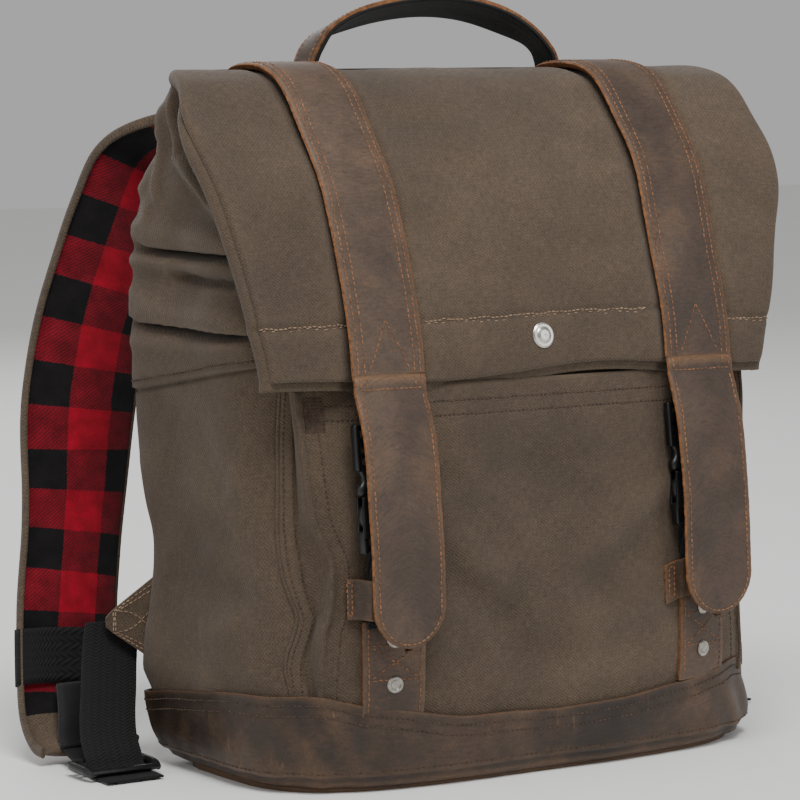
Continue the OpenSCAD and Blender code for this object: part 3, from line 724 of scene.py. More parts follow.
def side_folds(P, sgn):
    """Folds in the canvas of one side wall, outwards in mm."""
    y, z = P[..., 1] + (0 if sgn < 0 else 6), P[..., 2] + (0 if sgn < 0 else 7)
    m = sstep(P[..., 0] * sgn, 132, 172)
    d = ridge(y, z, [(61, 310.5), (40, 308.5), (0, 308), (-34, 308.5), (-62, 306)], 3.0, -12.5, 0.16)
    d += ridge(y, z, [(78, 318), (40, 318), (-20, 317), (-55, 315)], 7, 5.5)
    d += ridge(y, z, [(80, 300), (56, 301), (10, 300), (-35, 301)], 4.2, 4.5)
    d += ridge(y, z, [(30, 295), (0, 292.5), (-40, 292)], 2.6, -6.5)
    d += ridge(y, z, [(71, 266.5), (40, 264.5), (0, 263.5), (-50, 263)], 3.0, -12.5, 0.16)
    d += ridge(y, z, [(88, 276), (40, 274), (-10, 273), (-50, 272)], 7.5, 6.0)
    d += ridge(y, z, [(80, 252), (40, 253), (-40, 256)], 6, 3.0)
    d += ridge(y, z, [(72, 345), (56, 330), (52, 318)], 5, 3.0)
    d += ridge(y, z, [(48, 404), (42, 380), (32, 361), (2, 347), (-26, 330)], 4.2, 7.0)
    d += ridge(y, z, [(37, 404), (31, 384), (16, 366), (-10, 352)], 3.6, -9.0)
    d += ridge(y, z, [(20, 402), (8, 386), (-6, 372)], 4.5, 5.0)
    d += ridge(y, z, [(64, 396), (60, 372), (50, 352), (44, 334)], 4.0, 3.6)
    d += ridge(y, z, [(66, 372), (60, 352), (64, 330)], 8, -3.0)
    d += ridge(y, z, [(40, 214), (10, 196), (-14, 168)], 13, -2.4)
    d += ridge(y, z, [(70, 190), (30, 152), (0, 128)], 15, 2.6)
    d += ridge(y, z, [(60, 120), (10, 108), (-30, 112)], 12, -2.2)
    d += ridge(y, z, [(20, 84), (-20, 96)], 10, 2.0)
    return d * m + wav(P, 62, 2 + sgn) * 1.1 * m


def seam_z(y):
    return 222.5 + (83 - y) * 0.178


# ---------------------------------------------------------------- bag body
NU = 400
ZR = np.concatenate([np.linspace(31, 226, 82), [228.5, 230.6, 232.2, 233.4, 234.3, 235.0, 235.7, 236.6, 237.8, 239.4, 241.5], np.linspace(244, 392, 84)])
NV = len(ZR)
def body_grid(off):
    P = np.zeros((NV, NU, 3))
    for i, z0 in enumerate(ZR):
        v = (z0 - 31) / 361.0
        r, L = section(z0, off, NU)
        bk = sstep(r[:, 1], 10, 50)
        zn = z0 + bk * 10.5 * v + (seam_z(r[:, 1]) - 235.0 - bk * 10.5 * 0.565) * sstep(z0, 60, 226) * (1 - sstep(z0, 243, 385))
        P[i, :, :2] = r; P[i, :, 2] = zn
        P[i, :, 1] -= sstep(r[:, 1], 30, 55) * (PB(z0) - PB(zn))
    return P
Pb = body_grid(0)
Nb = normals(Pb, True)
if np.sum(Nb[..., 0] * Pb[..., 0]) < 0:
    Nb = -Nb
x, y, z = Pb[..., 0], Pb[..., 1], Pb[..., 2]
side = sstep(np.abs(x), 120, 170)
D = side_folds(Pb, -1) * (x < 0) + side_folds(Pb, 1) * (x > 0)
D += 5.0 * bellf(x, -186, 26) * bellf(y, 80, 34) + 3.0 * bellf(x, 186, 26) * bellf(y, 80, 34)
D += wav(Pb, 120, 1) * 1.4 * (1 - side) + wav(Pb, 40, 4) * 0.5
D += (1.9 * sstep(z - seam_z(y), -0.5, 0.9) * (1 - 0.7 * sstep(z - seam_z(y), 6, 26)) - 1.6 * bellf(z - seam_z(y), -1.1, 1.0)) * side
D += 5.0 * bellf(z, 70, 26) * sstep(-x, 140, 172) * sstep(y, 5, 45)
D -= 8.0 * sstep(x, 120, 172) * bellf(z, 52, 34) * (1 - 0.5 * sstep(y, -20, 60))
frontm = sstep(-y, -10, 20)
D *= 1 - 0.75 * frontm * (1 - side)
D *= sstep(392 - z, -12, 14) * sstep(z, 28, 60)
D = np.clip(D, -13.0, 8.0)
Pb2 = Pb + Nb * D[..., None]
narrow = np.where(x > 0, 10.0 * sstep(z, 345, 402), 8.5 * sstep(z, 345, 370) - 6.0 * sstep(z, 374, 396))
Pb2[..., 0] -= np.sign(x) * narrow * sstep(np.abs(x), 100, 180)
cor = sstep(np.abs(x), 146, 168) * sstep(y, 18, 44) * sstep(z, 372, 402)
Pb2[..., 2] -= 2.0 * cor
Pb2[..., 1] -= 3.0 * cor
# the upper cloth of each fold hangs over the crease
for zc, ya, yb_ in ((308.5, -60, 62), (264.0, -55, 72)):
    ext = sstep(y, ya - 12, ya + 10) * (1 - sstep(y, yb_ - 12, yb_ + 6)) * sstep(np.abs(x), 140, 172)
    shift = np.where(x > 0, -7.0, 0.0)
    Pb2[..., 2] -= 4.2 * bellf(z - zc - shift, 4.6, 3.4) * ext
# keep the front under the flap and pocket clear
# the side walls rise to the underside of the fold
FYZ = np.array([[-6.5, 394.4], [0.5, 401.6], [7, 406.2], [14, 408.9], [22, 410.8], [30, 411.6], [38, 411.7], [46, 411.0], [53.2, 409.6], [58, 405.6], [61, 398.0]])
rise = np.maximum(0, np.interp(Pb2[-1, :, 1], FYZ[:, 0], FYZ[:, 1]) - 5.6 - Pb2[-1, :, 2]) * sstep(np.abs(Pb2[-1, :, 0]), 112, 160)
rise = np.convolve(np.concatenate([rise[-3:], rise, rise[:3]]), np.ones(7) / 7, "valid")
Pb2[..., 2] += rise[None, :] * (np.clip((ZR - 340) / 52.0, 0, 1) ** 1.6)[:, None]
front_lim = (PF(Pb2[..., 2]) - 1.2)
Pb2[..., 1] = np.maximum(Pb2[..., 1], front_lim)
mb = MB()
us = np.linspace(0, 1.02, NU + 1); vs = np.linspace(0, 0.37, NV)
UV = [[(us[c], vs[r]) for c in range(NU + 1)] for r in range(NV)]
Nb2 = normals(Pb2, True)
if np.sum(Nb2[..., 0] * Pb2[..., 0]) < 0:
    Pb2f, Nb2 = Pb2, -Nb2
# the mouth's cloth turns in under the flap
lipn = Nb2[-1] * np.array([1.0, 1.0, 0.0]); lipn /= np.linalg.norm(lipn, axis=1)[:, None]
lw = sstep(np.abs(Pb2[-1, :, 0]), 90, 165)[:, None]
for k_, (d_, u_) in enumerate(((2.0, 0.7), (4.6, 1.1), (7.6, 1.2), (10.8, 1.1), (14.0, 0.6), (17.5, -0.4))):
    Pb2 = np.concatenate([Pb2, (Pb2[NV - 1] - lipn * d_ * (0.25 + 0.75 * lw) + np.array([0, 0, 1.0]) * u_ * (0.3 + 0.7 * lw))[None]])
    UV.append([(u0, v0 + 0.003 * (k_ + 1)) for u0, v0 in UV[NV - 1]])
Nb2 = normals(Pb2, True)
if np.sum(Nb2[:NV, :, 0] * Pb2[:NV, :, 0]) < 0:
    Nb2 = -Nb2
mb.solid(Pb2, Nb2, 2.0, UV, 0, 1, 0, closed=True)
S_body = Surf(np.concatenate([Pb2, Pb2[:, :1]], 1), np.arange(NU + 1), np.arange(len(Pb2))); S_body.N = np.concatenate([Nb2, Nb2[:, :1]], 1)


def body_at(x, y, z):
    """Nearest grid place (column, row) of the shell to a point."""
    d = (Pb2[..., 0] - x) ** 2 + (Pb2[..., 1] - y) ** 2 + (Pb2[..., 2] - z) ** 2
    r, c = np.unravel_index(np.argmin(d), d.shape)
    return float(c), float(r)


rowst = float(np.interp(239.3, ZR, np.arange(NV)))
for sgn in (-1, 1):
    yc_ = Pb2[int(rowst), :, 1]; xc_ = Pb2[int(rowst), :, 0]
    cols_ = [c_ for c_ in range(NU) if xc_[c_] * sgn > 150 and -52 < yc_[c_] < 80]
    if sgn > 0:
        cols_ = sorted(cols_, key=lambda q: (q + NU // 2) % NU)
        brk = [i for i in range(1, len(cols_)) if abs(cols_[i] - cols_[i - 1]) > 5]
        runs = np.split(np.array(cols_), brk)
    else:
        runs = [np.array(cols_)]
    for run_ in runs:
        if len(run_) > 3:
            mb.stitches(S_body, [(float(c_), rowst) for c_ in run_], 3.1, 2.3, 0.36, 2, lift=0.2)
o_body = finish_piece(mb, "canvas_body", [canvas, canvas_in, thread_brown], "canvas", "root")
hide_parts("front_panel", "back_panel", "side_panel_left", "side_panel_right")

# ---------------------------------------------------------------- leather base
NBU = 240
def base_top(x, y):
    fr = 38.5 + 18.0 * np.minimum(1.0, (np.abs(x) / 150.0)) ** 2.2
    sd = 60 - (y + 66) * 0.115
    return np.where(y < -40, np.minimum(fr, 60), sd) * 1.0

BF = table([[0,-74],[2,-80],[5,-83.6],[9,-85.4],[14,-86.2],[30,-87.4],[40,-87.9],[62,-88.4]])
BA = table([[0,161],[3,170],[6,175.5],[12,180.5],[30,183.8],[62,184.5]])
BB = table([[0,62],[3,70.5],[7,77],[12,81.5],[30,84.5],[62,87.0]])
rows = np.concatenate([[0.9, 2.2, 3.8, 5.6, 7.2, 8.4, 9.6, 11.2, 14], np.linspace(18, 58, 17)])
PBs, LB = closed_surf(rows, 0.0, NBU, front=BF, back_t=BB, wide=BA, nf=3.6)
xt, yt = PBs[-1, :, 0], PBs[-1, :, 1]
w = sstep(-yt, -5, 55)
topz = (38.5 + 19.0 * np.minimum(1.0, np.abs(xt) / 152.0) ** 2.4) * w + (58.5 - (yt + 50) * 0.115) * (1 - w)
topz = topz + wav(np.column_stack([xt, yt, 0 * xt]), 70, 3) * 0.7
for i in range(len(rows)):
    k = sstep(rows[i], 14, 58) if rows[i] > 14 else 0
    f = max(0.0, (rows[i] - 14) / (58 - 14))
    zz = np.where(rows[i] > 14, 14 + f * (topz - 14), rows[i])
    PBs[i, :, 2] = zz
rk = sstep(PBs[..., 0], 110, 172)
PBs[..., 2] -= 7.0 * rk * sstep(PBs[..., 2], 20, 56) * sstep(-PBs[..., 1], -20, 50)
PBs[..., 0] += rk * (-8.5 * sstep(PBs[..., 2], 14, 48) + 3.0 * bellf(PBs[..., 2], 10, 10) * sstep(PBs[..., 2], 0, 4))
NBs = normals(PBs, True)
if np.sum(NBs[..., 0] * PBs[..., 0]) < 0:
    NBs = -NBs
zz = PBs[..., 2]
Db = wav(PBs, 75, 6) * 0.8 + wav(PBs, 26, 9) * 0.3
Db -= 1.6 * bellf(zz, 8.0, 1.5)
corner = bellf(np.abs(PBs[..., 0]), 158, 26) * sstep(-PBs[..., 1], 30, 60)
Db += corner * 1.2 * np.sin(PBs[..., 0] * 0.25 + zz * 0.16)
Db += 4.0 * bellf(np.abs(PBs[..., 0]), 184, 26) * bellf(PBs[..., 1], 84, 34) * sstep(zz, 4, 40)
Db *= sstep(zz, 0, 7)
PBs2 = PBs + NBs * Db[..., None]
PBs2[..., 2] = np.maximum(PBs2[..., 2], 0.15)
NBs = normals(PBs2, True)
if np.sum(NBs[..., 0] * PBs2[..., 0]) < 0:
    NBs = -NBs
mb = MB()
UV = [[(1.05 * c / NBU, PBs2[r, 0, 2] * MM) for c in range(NBU + 1)] for r in range(len(rows))]
mb.solid(PBs2, NBs, 2.4, UV, 0, 0, 1, closed=True)
S_base = Surf(np.concatenate([PBs2, PBs2[:, :1]], 1), np.arange(NBU + 1), np.arange(len(rows))); S_base.N = np.concatenate([NBs, NBs[:, :1]], 1)
def base_row(dz):
    pts = []
    for c in list(np.arange(0, NBU, 1.0)) + [NBU]:
        cc = int(c) % NBU
        col = PBs2[:, cc, 2]
        pts.append((c, float(np.interp(col[-1] - dz, col, np.arange(len(rows))))))
    return pts
mb.stitches(S_base, base_row(5.0), 3.3, 2.4, 0.36, 2, lift=0.05)
mb.stitches(S_base, base_row(11.0), 3.3, 2.4, 0.36, 2, lift=0.05)
def base_low(zv):
    pts = []
    for c in list(np.arange(0, NBU, 1.0)) + [NBU]:
        col = PBs2[:, int(c) % NBU, 2]
        pts.append((c, float(np.interp(zv, col, np.arange(len(rows))))))
    return pts
mb.stitches(S_base, base_low(12.4), 3.6, 2.5, 0.34, 2, lift=0.0)
o = finish_piece(mb, "base_leather_band", [base_leather, base_edge, thread_brown], "base_leather", "root", bevel=0.5, angle=55)
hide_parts("base_skirt")

# ---------------------------------------------------------------- patch pocket with bellows sides
PV = table([[30,-83.6],[45,-84.8],[56,-86.2],[90,-86.8],[130,-85.6],[156,-83.0],[180,-80.2],[205,-76.9],[226,-72.5],[245,-69]])
zr = np.linspace(34, 233, 76)
# left and right fold lines of the bellows: across, as a function of height
FX = table([[30,152],[60,151],[95,148],[101,146],[116,144],[131,143.5],[146,148],[158,152.5],[181,155.5],[210,158],[240,159.5]])
GX = table([[30,162],[57,162],[72,162],[80,160.5],[91,157],[101,155],[113,158],[127,161],[155,163],[190,163.5],[240,163]])
NCF = 92
def pocket_grid():
    G = np.zeros((len(zr), NCF + 2 * 14, 3))
    U = np.zeros(G.shape[1])
    for i, z_ in enumerate(zr):
        xf, xg = float(FX(z_)), float(GX(z_))
        xs = np.linspace(-xf, xf, NCF)
        ys = fy(xs, z_, PV(z_))
        def gus(s):
            # from the outer flange in to the valley, then out to the fold edge
            body_y = lambda q: float(fy(q, z_, PF(z_))) - 1.0
            yo = body_y(xg)
            pts = [(xg + 2.5, float(fy(xg + 2.5, z_, PF(z_))) - 0.3), (xg + 1.2, body_y(xg + 1.2) - 0.9), (xg - 1.5, body_y(xg - 1.5) - 1.5), (xg - 3.4, body_y(xg - 3.4) - 1.5), (xg - 5.2, body_y(xg - 5.2) - 1.0),
                   (xg - 6.8, body_y(xg - 6.8) + 0.8)]
            yi = float(fy(xf, z_, PV(z_)))
            yv = max(body_y(xg - 9) + 0.6, yi + 2.0) if False else body_y(xg - 8.5) + 0.6
            last = (xf + 1.6, yi + 2.6)
            a = np.array(pts); b = np.array([[xf + 2.8, yi + 6.0], [xf + 3.0, yi + 4.0], [xf + 2.7, yi + 2.0], [xf + 1.8, yi + 0.4], [xf + 0.7, yi - 0.6]])
            mid = np.array([[(a[-1, 0] + b[0, 0]) / 2, (a[-1, 1] + b[0, 1]) / 2 + 1.0]])
            q = np.vstack([a, mid, b])
            return spline(np.column_stack([q, np.zeros(len(q))]), 14)[:, :2]
        g = gus(1)
        L = np.column_stack([-g[:, 0], g[:, 1]]); R = g[::-1]
        row = np.vstack([L, np.column_stack([xs, ys]), R])
        G[i, :, :2] = row; G[i, :, 2] = z_
    return G
Pp = pocket_grid()
x, y, z = Pp[..., 0], Pp[..., 1], Pp[..., 2]
inner = 1 - sstep(np.abs(x), 128, 146)
dd = -wav(Pp, 95, 3) * 1.3 - wav(Pp, 34, 8) * 0.5
dd += ridge(x, z, [(100, 172), (70, 158), (38, 138), (10, 122)], 10, 2.4) + ridge(x, z, [(96, 150), (66, 132), (36, 112), (16, 100)], 11, -2.2)
dd += ridge(x, z, [(-86, 178), (-76, 150), (-56, 128), (-30, 112)], 11, 2.6) + ridge(x, z, [(-84, 132), (-60, 108), (-28, 92)], 10, -2.0)
dd += ridge(x, z, [(92, 110), (50, 88), (0, 80)], 13, 1.6) + ridge(x, z, [(-40, 78), (20, 66), (80, 74)], 12, -1.4)
dd += ridge(x, z, [(-130, 200), (-120, 160), (-128, 120)], 9, -1.8) + ridge(x, z, [(60, 200), (30, 186), (-30, 182)], 14, -1.4)
dd *= inner * sstep(z, 40, 70) * (1 - 0.6 * sstep(z, 200, 228))
Pp[..., 1] = Pp[..., 1] - np.clip(dd, -3.0, 2.6)
# the fabric under the flap hem stays behind it
Pp[..., 1] = np.where(z > 215, np.maximum(Pp[..., 1], PV(z) + 0.2), Pp[..., 1])
U = np.arange(Pp.shape[1]); V = np.arange(len(zr))
N0 = normals(Pp)
flip = np.sum(N0[..., 1]) > 0
if flip:
    Pp = Pp[::-1]; V = V[::-1]
S_pk = Surf(Pp, U, V)
mb = MB()
mb.solid(S_pk.P, S_pk.N, 1.6, S_pk.uv(), 0, 1, 0)
nz = len(zr) - 1
def zrow(zv):
    return float(np.interp(zv, zr, np.arange(len(zr))))
lo, hi = zrow(46), zrow(231)
for sg in (-1, 1):      # corded edges of the flange and of the fold
    zt = np.linspace(44, 231, 110)
    e1 = np.array([[sg * (float(FX(v)) + 2.1), float(fy(float(FX(v)) + 0.7, v, PV(v))) - 0.4, v] for v in zt])
    e2_ = np.array([[sg * (float(GX(v)) + 2.4), float(fy(float(GX(v)) + 2.4, v, PF(v))) - 0.9, v] for v in zt])
    jit = wav(e1, 22, 3)[:, None] * np.array([[0.25, 0.15, 0]])
    mb.tube(e1 + jit, 1.45, 0, 8); mb.tube(e2_ + jit, 1.05, 0, 8)
for col in (2.0, 4.6):
    for sg in (0, 1):
        cc = col if sg == 0 else Pp.shape[1] - 1 - col
        mb.stitches(S_pk, [(cc, r) for r in np.linspace(lo, hi, 40)], 3.2, 2.3, 0.34, 2)
for sg in (0, 1):   # stitch beside the corded fold
    cc = 16.2 if sg == 0 else Pp.shape[1] - 1 - 16.2
    mb.stitches(S_pk, [(cc, r) for r in np.linspace(lo, hi, 40)], 3.2, 2.3, 0.32, 2)
    # bar tacks at the pocket mouth
    for k in range(9):
        c0 = 14.5 + k * 0.35 if sg == 0 else Pp.shape[1] - 1 - 14.5 - k * 0.35
        mb.stitches(S_pk, [(c0, zrow(208)), (c0 + 0.1, zrow(228))], 2.0, 2.2, 0.36, 2)
for zz_ in (214.5, 222.5):
    mb.stitches(S_pk, [(c, zrow(zz_ - 0.00035 * 0)) for c in np.linspace(15, Pp.shape[1] - 16, 90)], 3.0, 2.2, 0.34, 2)
o = finish_piece(mb, "pocket_canvas", [canvas, canvas_in, thread_brown], "canvas", "root")
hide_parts("front_pocket")
sheet_of(Pp)


# ---------------------------------------------------------------- flap
path = np.array([[61.6, 390.5], [60.8, 398.0], [58.0, 405.6], [53.2, 409.6], [46, 411.0], [38, 411.7], [30, 411.6], [22, 410.8], [14, 408.9], [7, 406.2], [0.5, 401.6], [-6.5, 394.4], [-17.5, 380.6], [-29, 366], [-37.6, 353.5], [-45, 340], [-53, 320.5], [-60, 300], [-64.4, 288], [-68, 276], [-70.9, 263], [-73, 250], [-75, 233]])
full = spline(path, 300)
LF = np.concatenate([[0], np.cumsum(np.linalg.norm(np.diff(full, axis=0), axis=1))])
sT = float(LF[np.argmin(np.abs(full[:, 0] - 30) + (full[:, 1] < 405) * 99)])     # parting of the two pieces
s_end = LF[-1]


def flap_prof(s):
    return np.stack([np.interp(s, LF, full[:, 0]), np.interp(s, LF, full[:, 1])], -1)


EDGE = {-1: ([392, 405, 411.6, 405, 388, 355, 322, 297, 269, 250, 233], [171, 178, 189, 198, 205, 203, 198.5, 194.5, 191.5, 189, 187]),
        1: ([392, 405, 411.6, 405, 388, 370, 340, 310, 290, 262, 233], [171, 178, 188, 191, 193.5, 195.5, 196.5, 189, 182, 172.5, 164])}


def flap_edge(s, sg):
    z, w = EDGE[sg]
    k = [0.0, 16.5, sT - 4] + [float(np.interp(-q, -full[:, 1][LF > sT], LF[LF > sT])) for q in z[3:]]
    return float(spline_at(k, w, s))


def spline_at(k, w, s):
    """Smooth value at s of a table of places k and values w."""
    s = np.clip(s, k[0], k[-1]); i = int(np.clip(np.searchsorted(k, s, side="right") - 1, 0, len(k) - 2))
    m = [(w[min(j + 1, len(k) - 1)] - w[max(j - 1, 0)]) / (k[min(j + 1, len(k) - 1)] - k[max(j - 1, 0)]) for j in (i, i + 1)]
    h = k[i + 1] - k[i]; t = (s - k[i]) / h
    return (2*t**3-3*t**2+1)*w[i] + (t**3-2*t**2+t)*h*m[0] + (-2*t**3+3*t**2)*w[i+1] + (t**3-t**2)*h*m[1]


def flap_twist(x, s):
    """The right end of the fold sits further forward."""
    k = sstep(s, 20, 70) * (1 - sstep(s, 120, 200))
    return -k * (12.5 * sstep(x, 40, 190)) + 1.5 * k * sstep(-x, 60, 190)


def hem_dip(x):
    """The hem's stitch line runs a little lower at the right-hand end."""
    return 9.0 * sstep(x, 105, 165) - 1.5 * bellf(x, 30, 50)


def flap_layer(s0, s1, ns, nc, off, th, xpad=0.0, hem=0.0, extra=0.0):
    s = np.linspace(s0, s1, ns)
    KC = 8
    P = np.zeros((ns, nc, 3)); drop = np.zeros((ns, nc))
    tin = np.linspace(-1, 1, nc - 2 * KC)
    sc = np.clip(s, 1.5, s_end - 1.5)
    a = flap_prof(sc - 1.0); b = flap_prof(sc + 1.0); T = b - a; T /= np.linalg.norm(T, axis=1)[:, None]
    nrm = np.stack([T[:, 1], -T[:, 0]], -1)      # outward in (Y,Z)
    base = flap_prof(np.minimum(s, s_end)); over = np.maximum(0, s - s_end)
    base = base + over[:, None] * T
    for i in range(ns):
        kk = float(sstep(s[i], sT + 18, sT + 44)) if xpad == 0 else 0.0
        R_ = 5.2 - 2.0 * kk; tm = 2.35 - 0.75 * kk
        xp = xpad if xpad == 0 else -2.5 + (xpad + 2.5) * float(sstep(s[i], sT + 26, sT + 78))
        w0, w1 = flap_edge(s[i], -1) + xp - R_, flap_edge(s[i], 1) + xp - R_
        P[i, KC:nc - KC, 0] = np.where(tin < 0, tin * w0, tin * w1)
        th_ = tm * np.arange(1, KC + 1) / KC
        P[i, nc - KC:, 0] = w1 + R_ * np.sin(th_); P[i, :KC, 0] = -(w0 + R_ * np.sin(th_))[::-1]
        drop[i, nc - KC:] = R_ * (1 - np.cos(th_)); drop[i, :KC] = (R_ * (1 - np.cos(th_)))[::-1]
    X = P[..., 0].copy()
    S2 = np.broadcast_to(s[:, None], X.shape)
    q = np.stack([X, S2 * 1.0, 0 * X], -1)
    h = wav(q, 150, 5) * 1.2 + wav(q, 52, 2) * 0.55
    h = h + 2.2 * bellf(X, 0, 70) * sstep(S2, 40, 110) * (1 - sstep(S2, 180, 232))
    h -= 1.6 * (sstep(25.5 - np.abs(np.abs(X) - 112), -5, 2))          # pressed in under the straps
    h += 0.9 * bellf(np.abs(X), 82, 7) + 0.9 * bellf(np.abs(X), 142, 7)
    h *= sstep(S2, 16, 60) * 0.85 + 0.15
    lowz = sstep(S2, s_end - 36, s_end)
    h += lowz * (wav(q, 34, 7) * 0.5)
    h += 1.2 * sstep(s_end - S2, 0, 34) * 0
    h -= 1.3 * bellf(S2, s_end - 36.5 + hem_dip(X), 2.4)                    # hem stitch pulls in
    h -= 1.1 * sstep(S2, s_end - 3.2, s_end + extra)
    h = np.clip(h, -4.2, 3.6) - drop
    tw = flap_twist(X, S2)
    rb = 1 - (1 - (np.minimum(np.abs(X), 191.0) / 204.0) ** 5) ** 0.2
    tw = tw - rb * 46.0 * (1 - sstep(S2, 6, 40))
    hemz = lowz * (1.2 * wav(q * [1, 0, 0], 210, 3) + 7.0 * sstep(-X, 60, 190) + 7.5 * bellf(X, 38, 62) + hem)
    P[..., 1] = base[:, None, 0] + nrm[:, None, 0] * (off + h) + tw
    P[..., 2] = base[:, None, 1] + nrm[:, None, 1] * (off + h) + hemz
    N = normals(P); out = np.stack([0 * X, np.broadcast_to(nrm[:, None, 0], X.shape), np.broadcast_to(nrm[:, None, 1], X.shape)], -1)
    V = s.copy()
    if np.sum(N * out) < 0:
        P, V = P[::-1], V[::-1]
    S = Surf(P, np.arange(nc), V)
    return S



A0, A1 = (0, 59, 399), (0, 47, 410.8)
B0, B1 = (0, 12, 408.6), (0, -5, 396.5)
S1 = flap_layer(0, sT, 26, 130, 0.0, 2.4)
mb = MB(); mb.solid(S1.P, S1.N, 2.4, S1.uv(), 0, 1, 0)
o = finish_piece(mb, "flap_canvas_ridge", [canvas, canvas_in, thread_beige], "canvas", None, ("root", "flap_top", A0, A1))
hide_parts("flap_top")
sheet_of(S1.P)
S2_ = flap_layer(sT, s_end, 112, 150, 0.0, 2.4)
mb = MB(); mb.solid(S2_.P, S2_.N, 2.4, S2_.uv(), 0, 1, 0)
hs = s_end - 36.5
for off_ in (0.0, 1.5):
    cols = np.linspace(1.2, 147.8, 150)
    sk = [(c, hs + off_ + 0.3 * math.sin(c * 0.7)) for c in cols]
    run = []
    for c, v in sk:
        X_ = np.interp(c, np.arange(150), S2_.P[60, :, 0])
        if abs(abs(X_) - 112) > 24:
            run.append((c, v + float(hem_dip(X_))))
        else:
            if len(run) > 2:
                mb.stitches(S2_, run, 3.1 if off_ == 0 else 5.3, 2.3, 0.36 if off_ == 0 else 0.26, 2, lift=0.1, jitter=0.2 + off_ * 0.25)
            run = []
    if len(run) > 2:
        mb.stitches(S2_, run, 3.1 if off_ == 0 else 5.3, 2.3, 0.36 if off_ == 0 else 0.26, 2, lift=0.1, jitter=0.2 + off_ * 0.25)
o = finish_piece(mb, "flap_canvas_front", [canvas, canvas_in, thread_beige], "canvas", None, ("flap_top", "flap_outer", B0, B1))
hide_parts("flap_outer")
sheet_of(S2_.P)
S3 = flap_layer(sT + 30, s_end + 4.5, 90, 120, -3.3, 2.2, xpad=3.5, hem=-0.5, extra=4)
mb = MB(); mb.solid(S3.P, S3.N, 2.1, S3.uv(), 0, 1, 0)
o = finish_piece(mb, "flap_canvas_inner", [canvas, canvas_in, thread_beige], "canvas", "flap_inner")
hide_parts("flap_inner")
sheet_of(S3.P)

# ---------------------------------------------------------------- leather straps over the flap
def strap_from(prof, hwf, x0, t=3.8, cols=17, sl=None, noise=0.25, sag=None, tw=None):
    """Leather strip in side view profile (N,2), centre x0."""
    n = len(prof)
    T = np.gradient(prof, axis=0); T /= np.linalg.norm(T, axis=1)[:, None]
    nrm = np.stack([T[:, 1], -T[:, 0]], -1)
    L = np.concatenate([[0], np.cumsum(np.linalg.norm(np.diff(prof, axis=0), axis=1))])
    c = np.linspace(-1, 1, cols); c = np.sign(c) * (1 - (1 - np.abs(c)) ** 1.5)
    P = np.zeros((n, cols, 3)); hw = np.array([hwf(v) for v in L])
    for i in range(n):
        xx = c * hw[i]
        d = -1.1 * np.clip((np.abs(xx) - (hw[i] - 2.4)) / 2.4, 0, 1) ** 2 + 0.7 * (1 - (xx / 25) ** 2)
        q = np.column_stack([xx, np.full(cols, L[i]), np.full(cols, x0)])
        d = d + wav(q, 70, 4) * noise + wav(q, 24, 11) * noise * 0.35
        P[i, :, 0] = x0 + xx + (wav(np.array([[0, L[i], x0]]), 60, 6)[0] * 0.35) + np.sign(xx) * (np.abs(c) > 0.99) * wav(np.array([[L[i] * 4, 3.0, x0]]), 14, 3)[0] * 0.12
        tws = flap_twist(x0, sl + L[i]) if sl is not None else 0
        P[i, :, 1] = prof[i, 0] + nrm[i, 0] * d + tws
        P[i, :, 2] = prof[i, 1] + nrm[i, 1] * d
    out = np.stack([0 * P[..., 0], np.broadcast_to(nrm[:, None, 0], P.shape[:2]), np.broadcast_to(nrm[:, None, 1], P.shape[:2])], -1)
    N = normals(P); V = L
    U = c * 25
    if np.sum(N * out) < 0:
        P, V = P[::-1], V[::-1]
    return Surf(P, U, V), L[-1]


def off_prof(s, d):
    sc = np.clip(s, 1.5, s_end - 1.5)
    p = flap_prof(s); a = flap_prof(sc - 1); b = flap_prof(sc + 1); T = b - a; T /= np.linalg.norm(T, axis=1)[:, None]
    nrm = np.stack([T[:, 1], -T[:, 0]], -1)
    return p + nrm * d


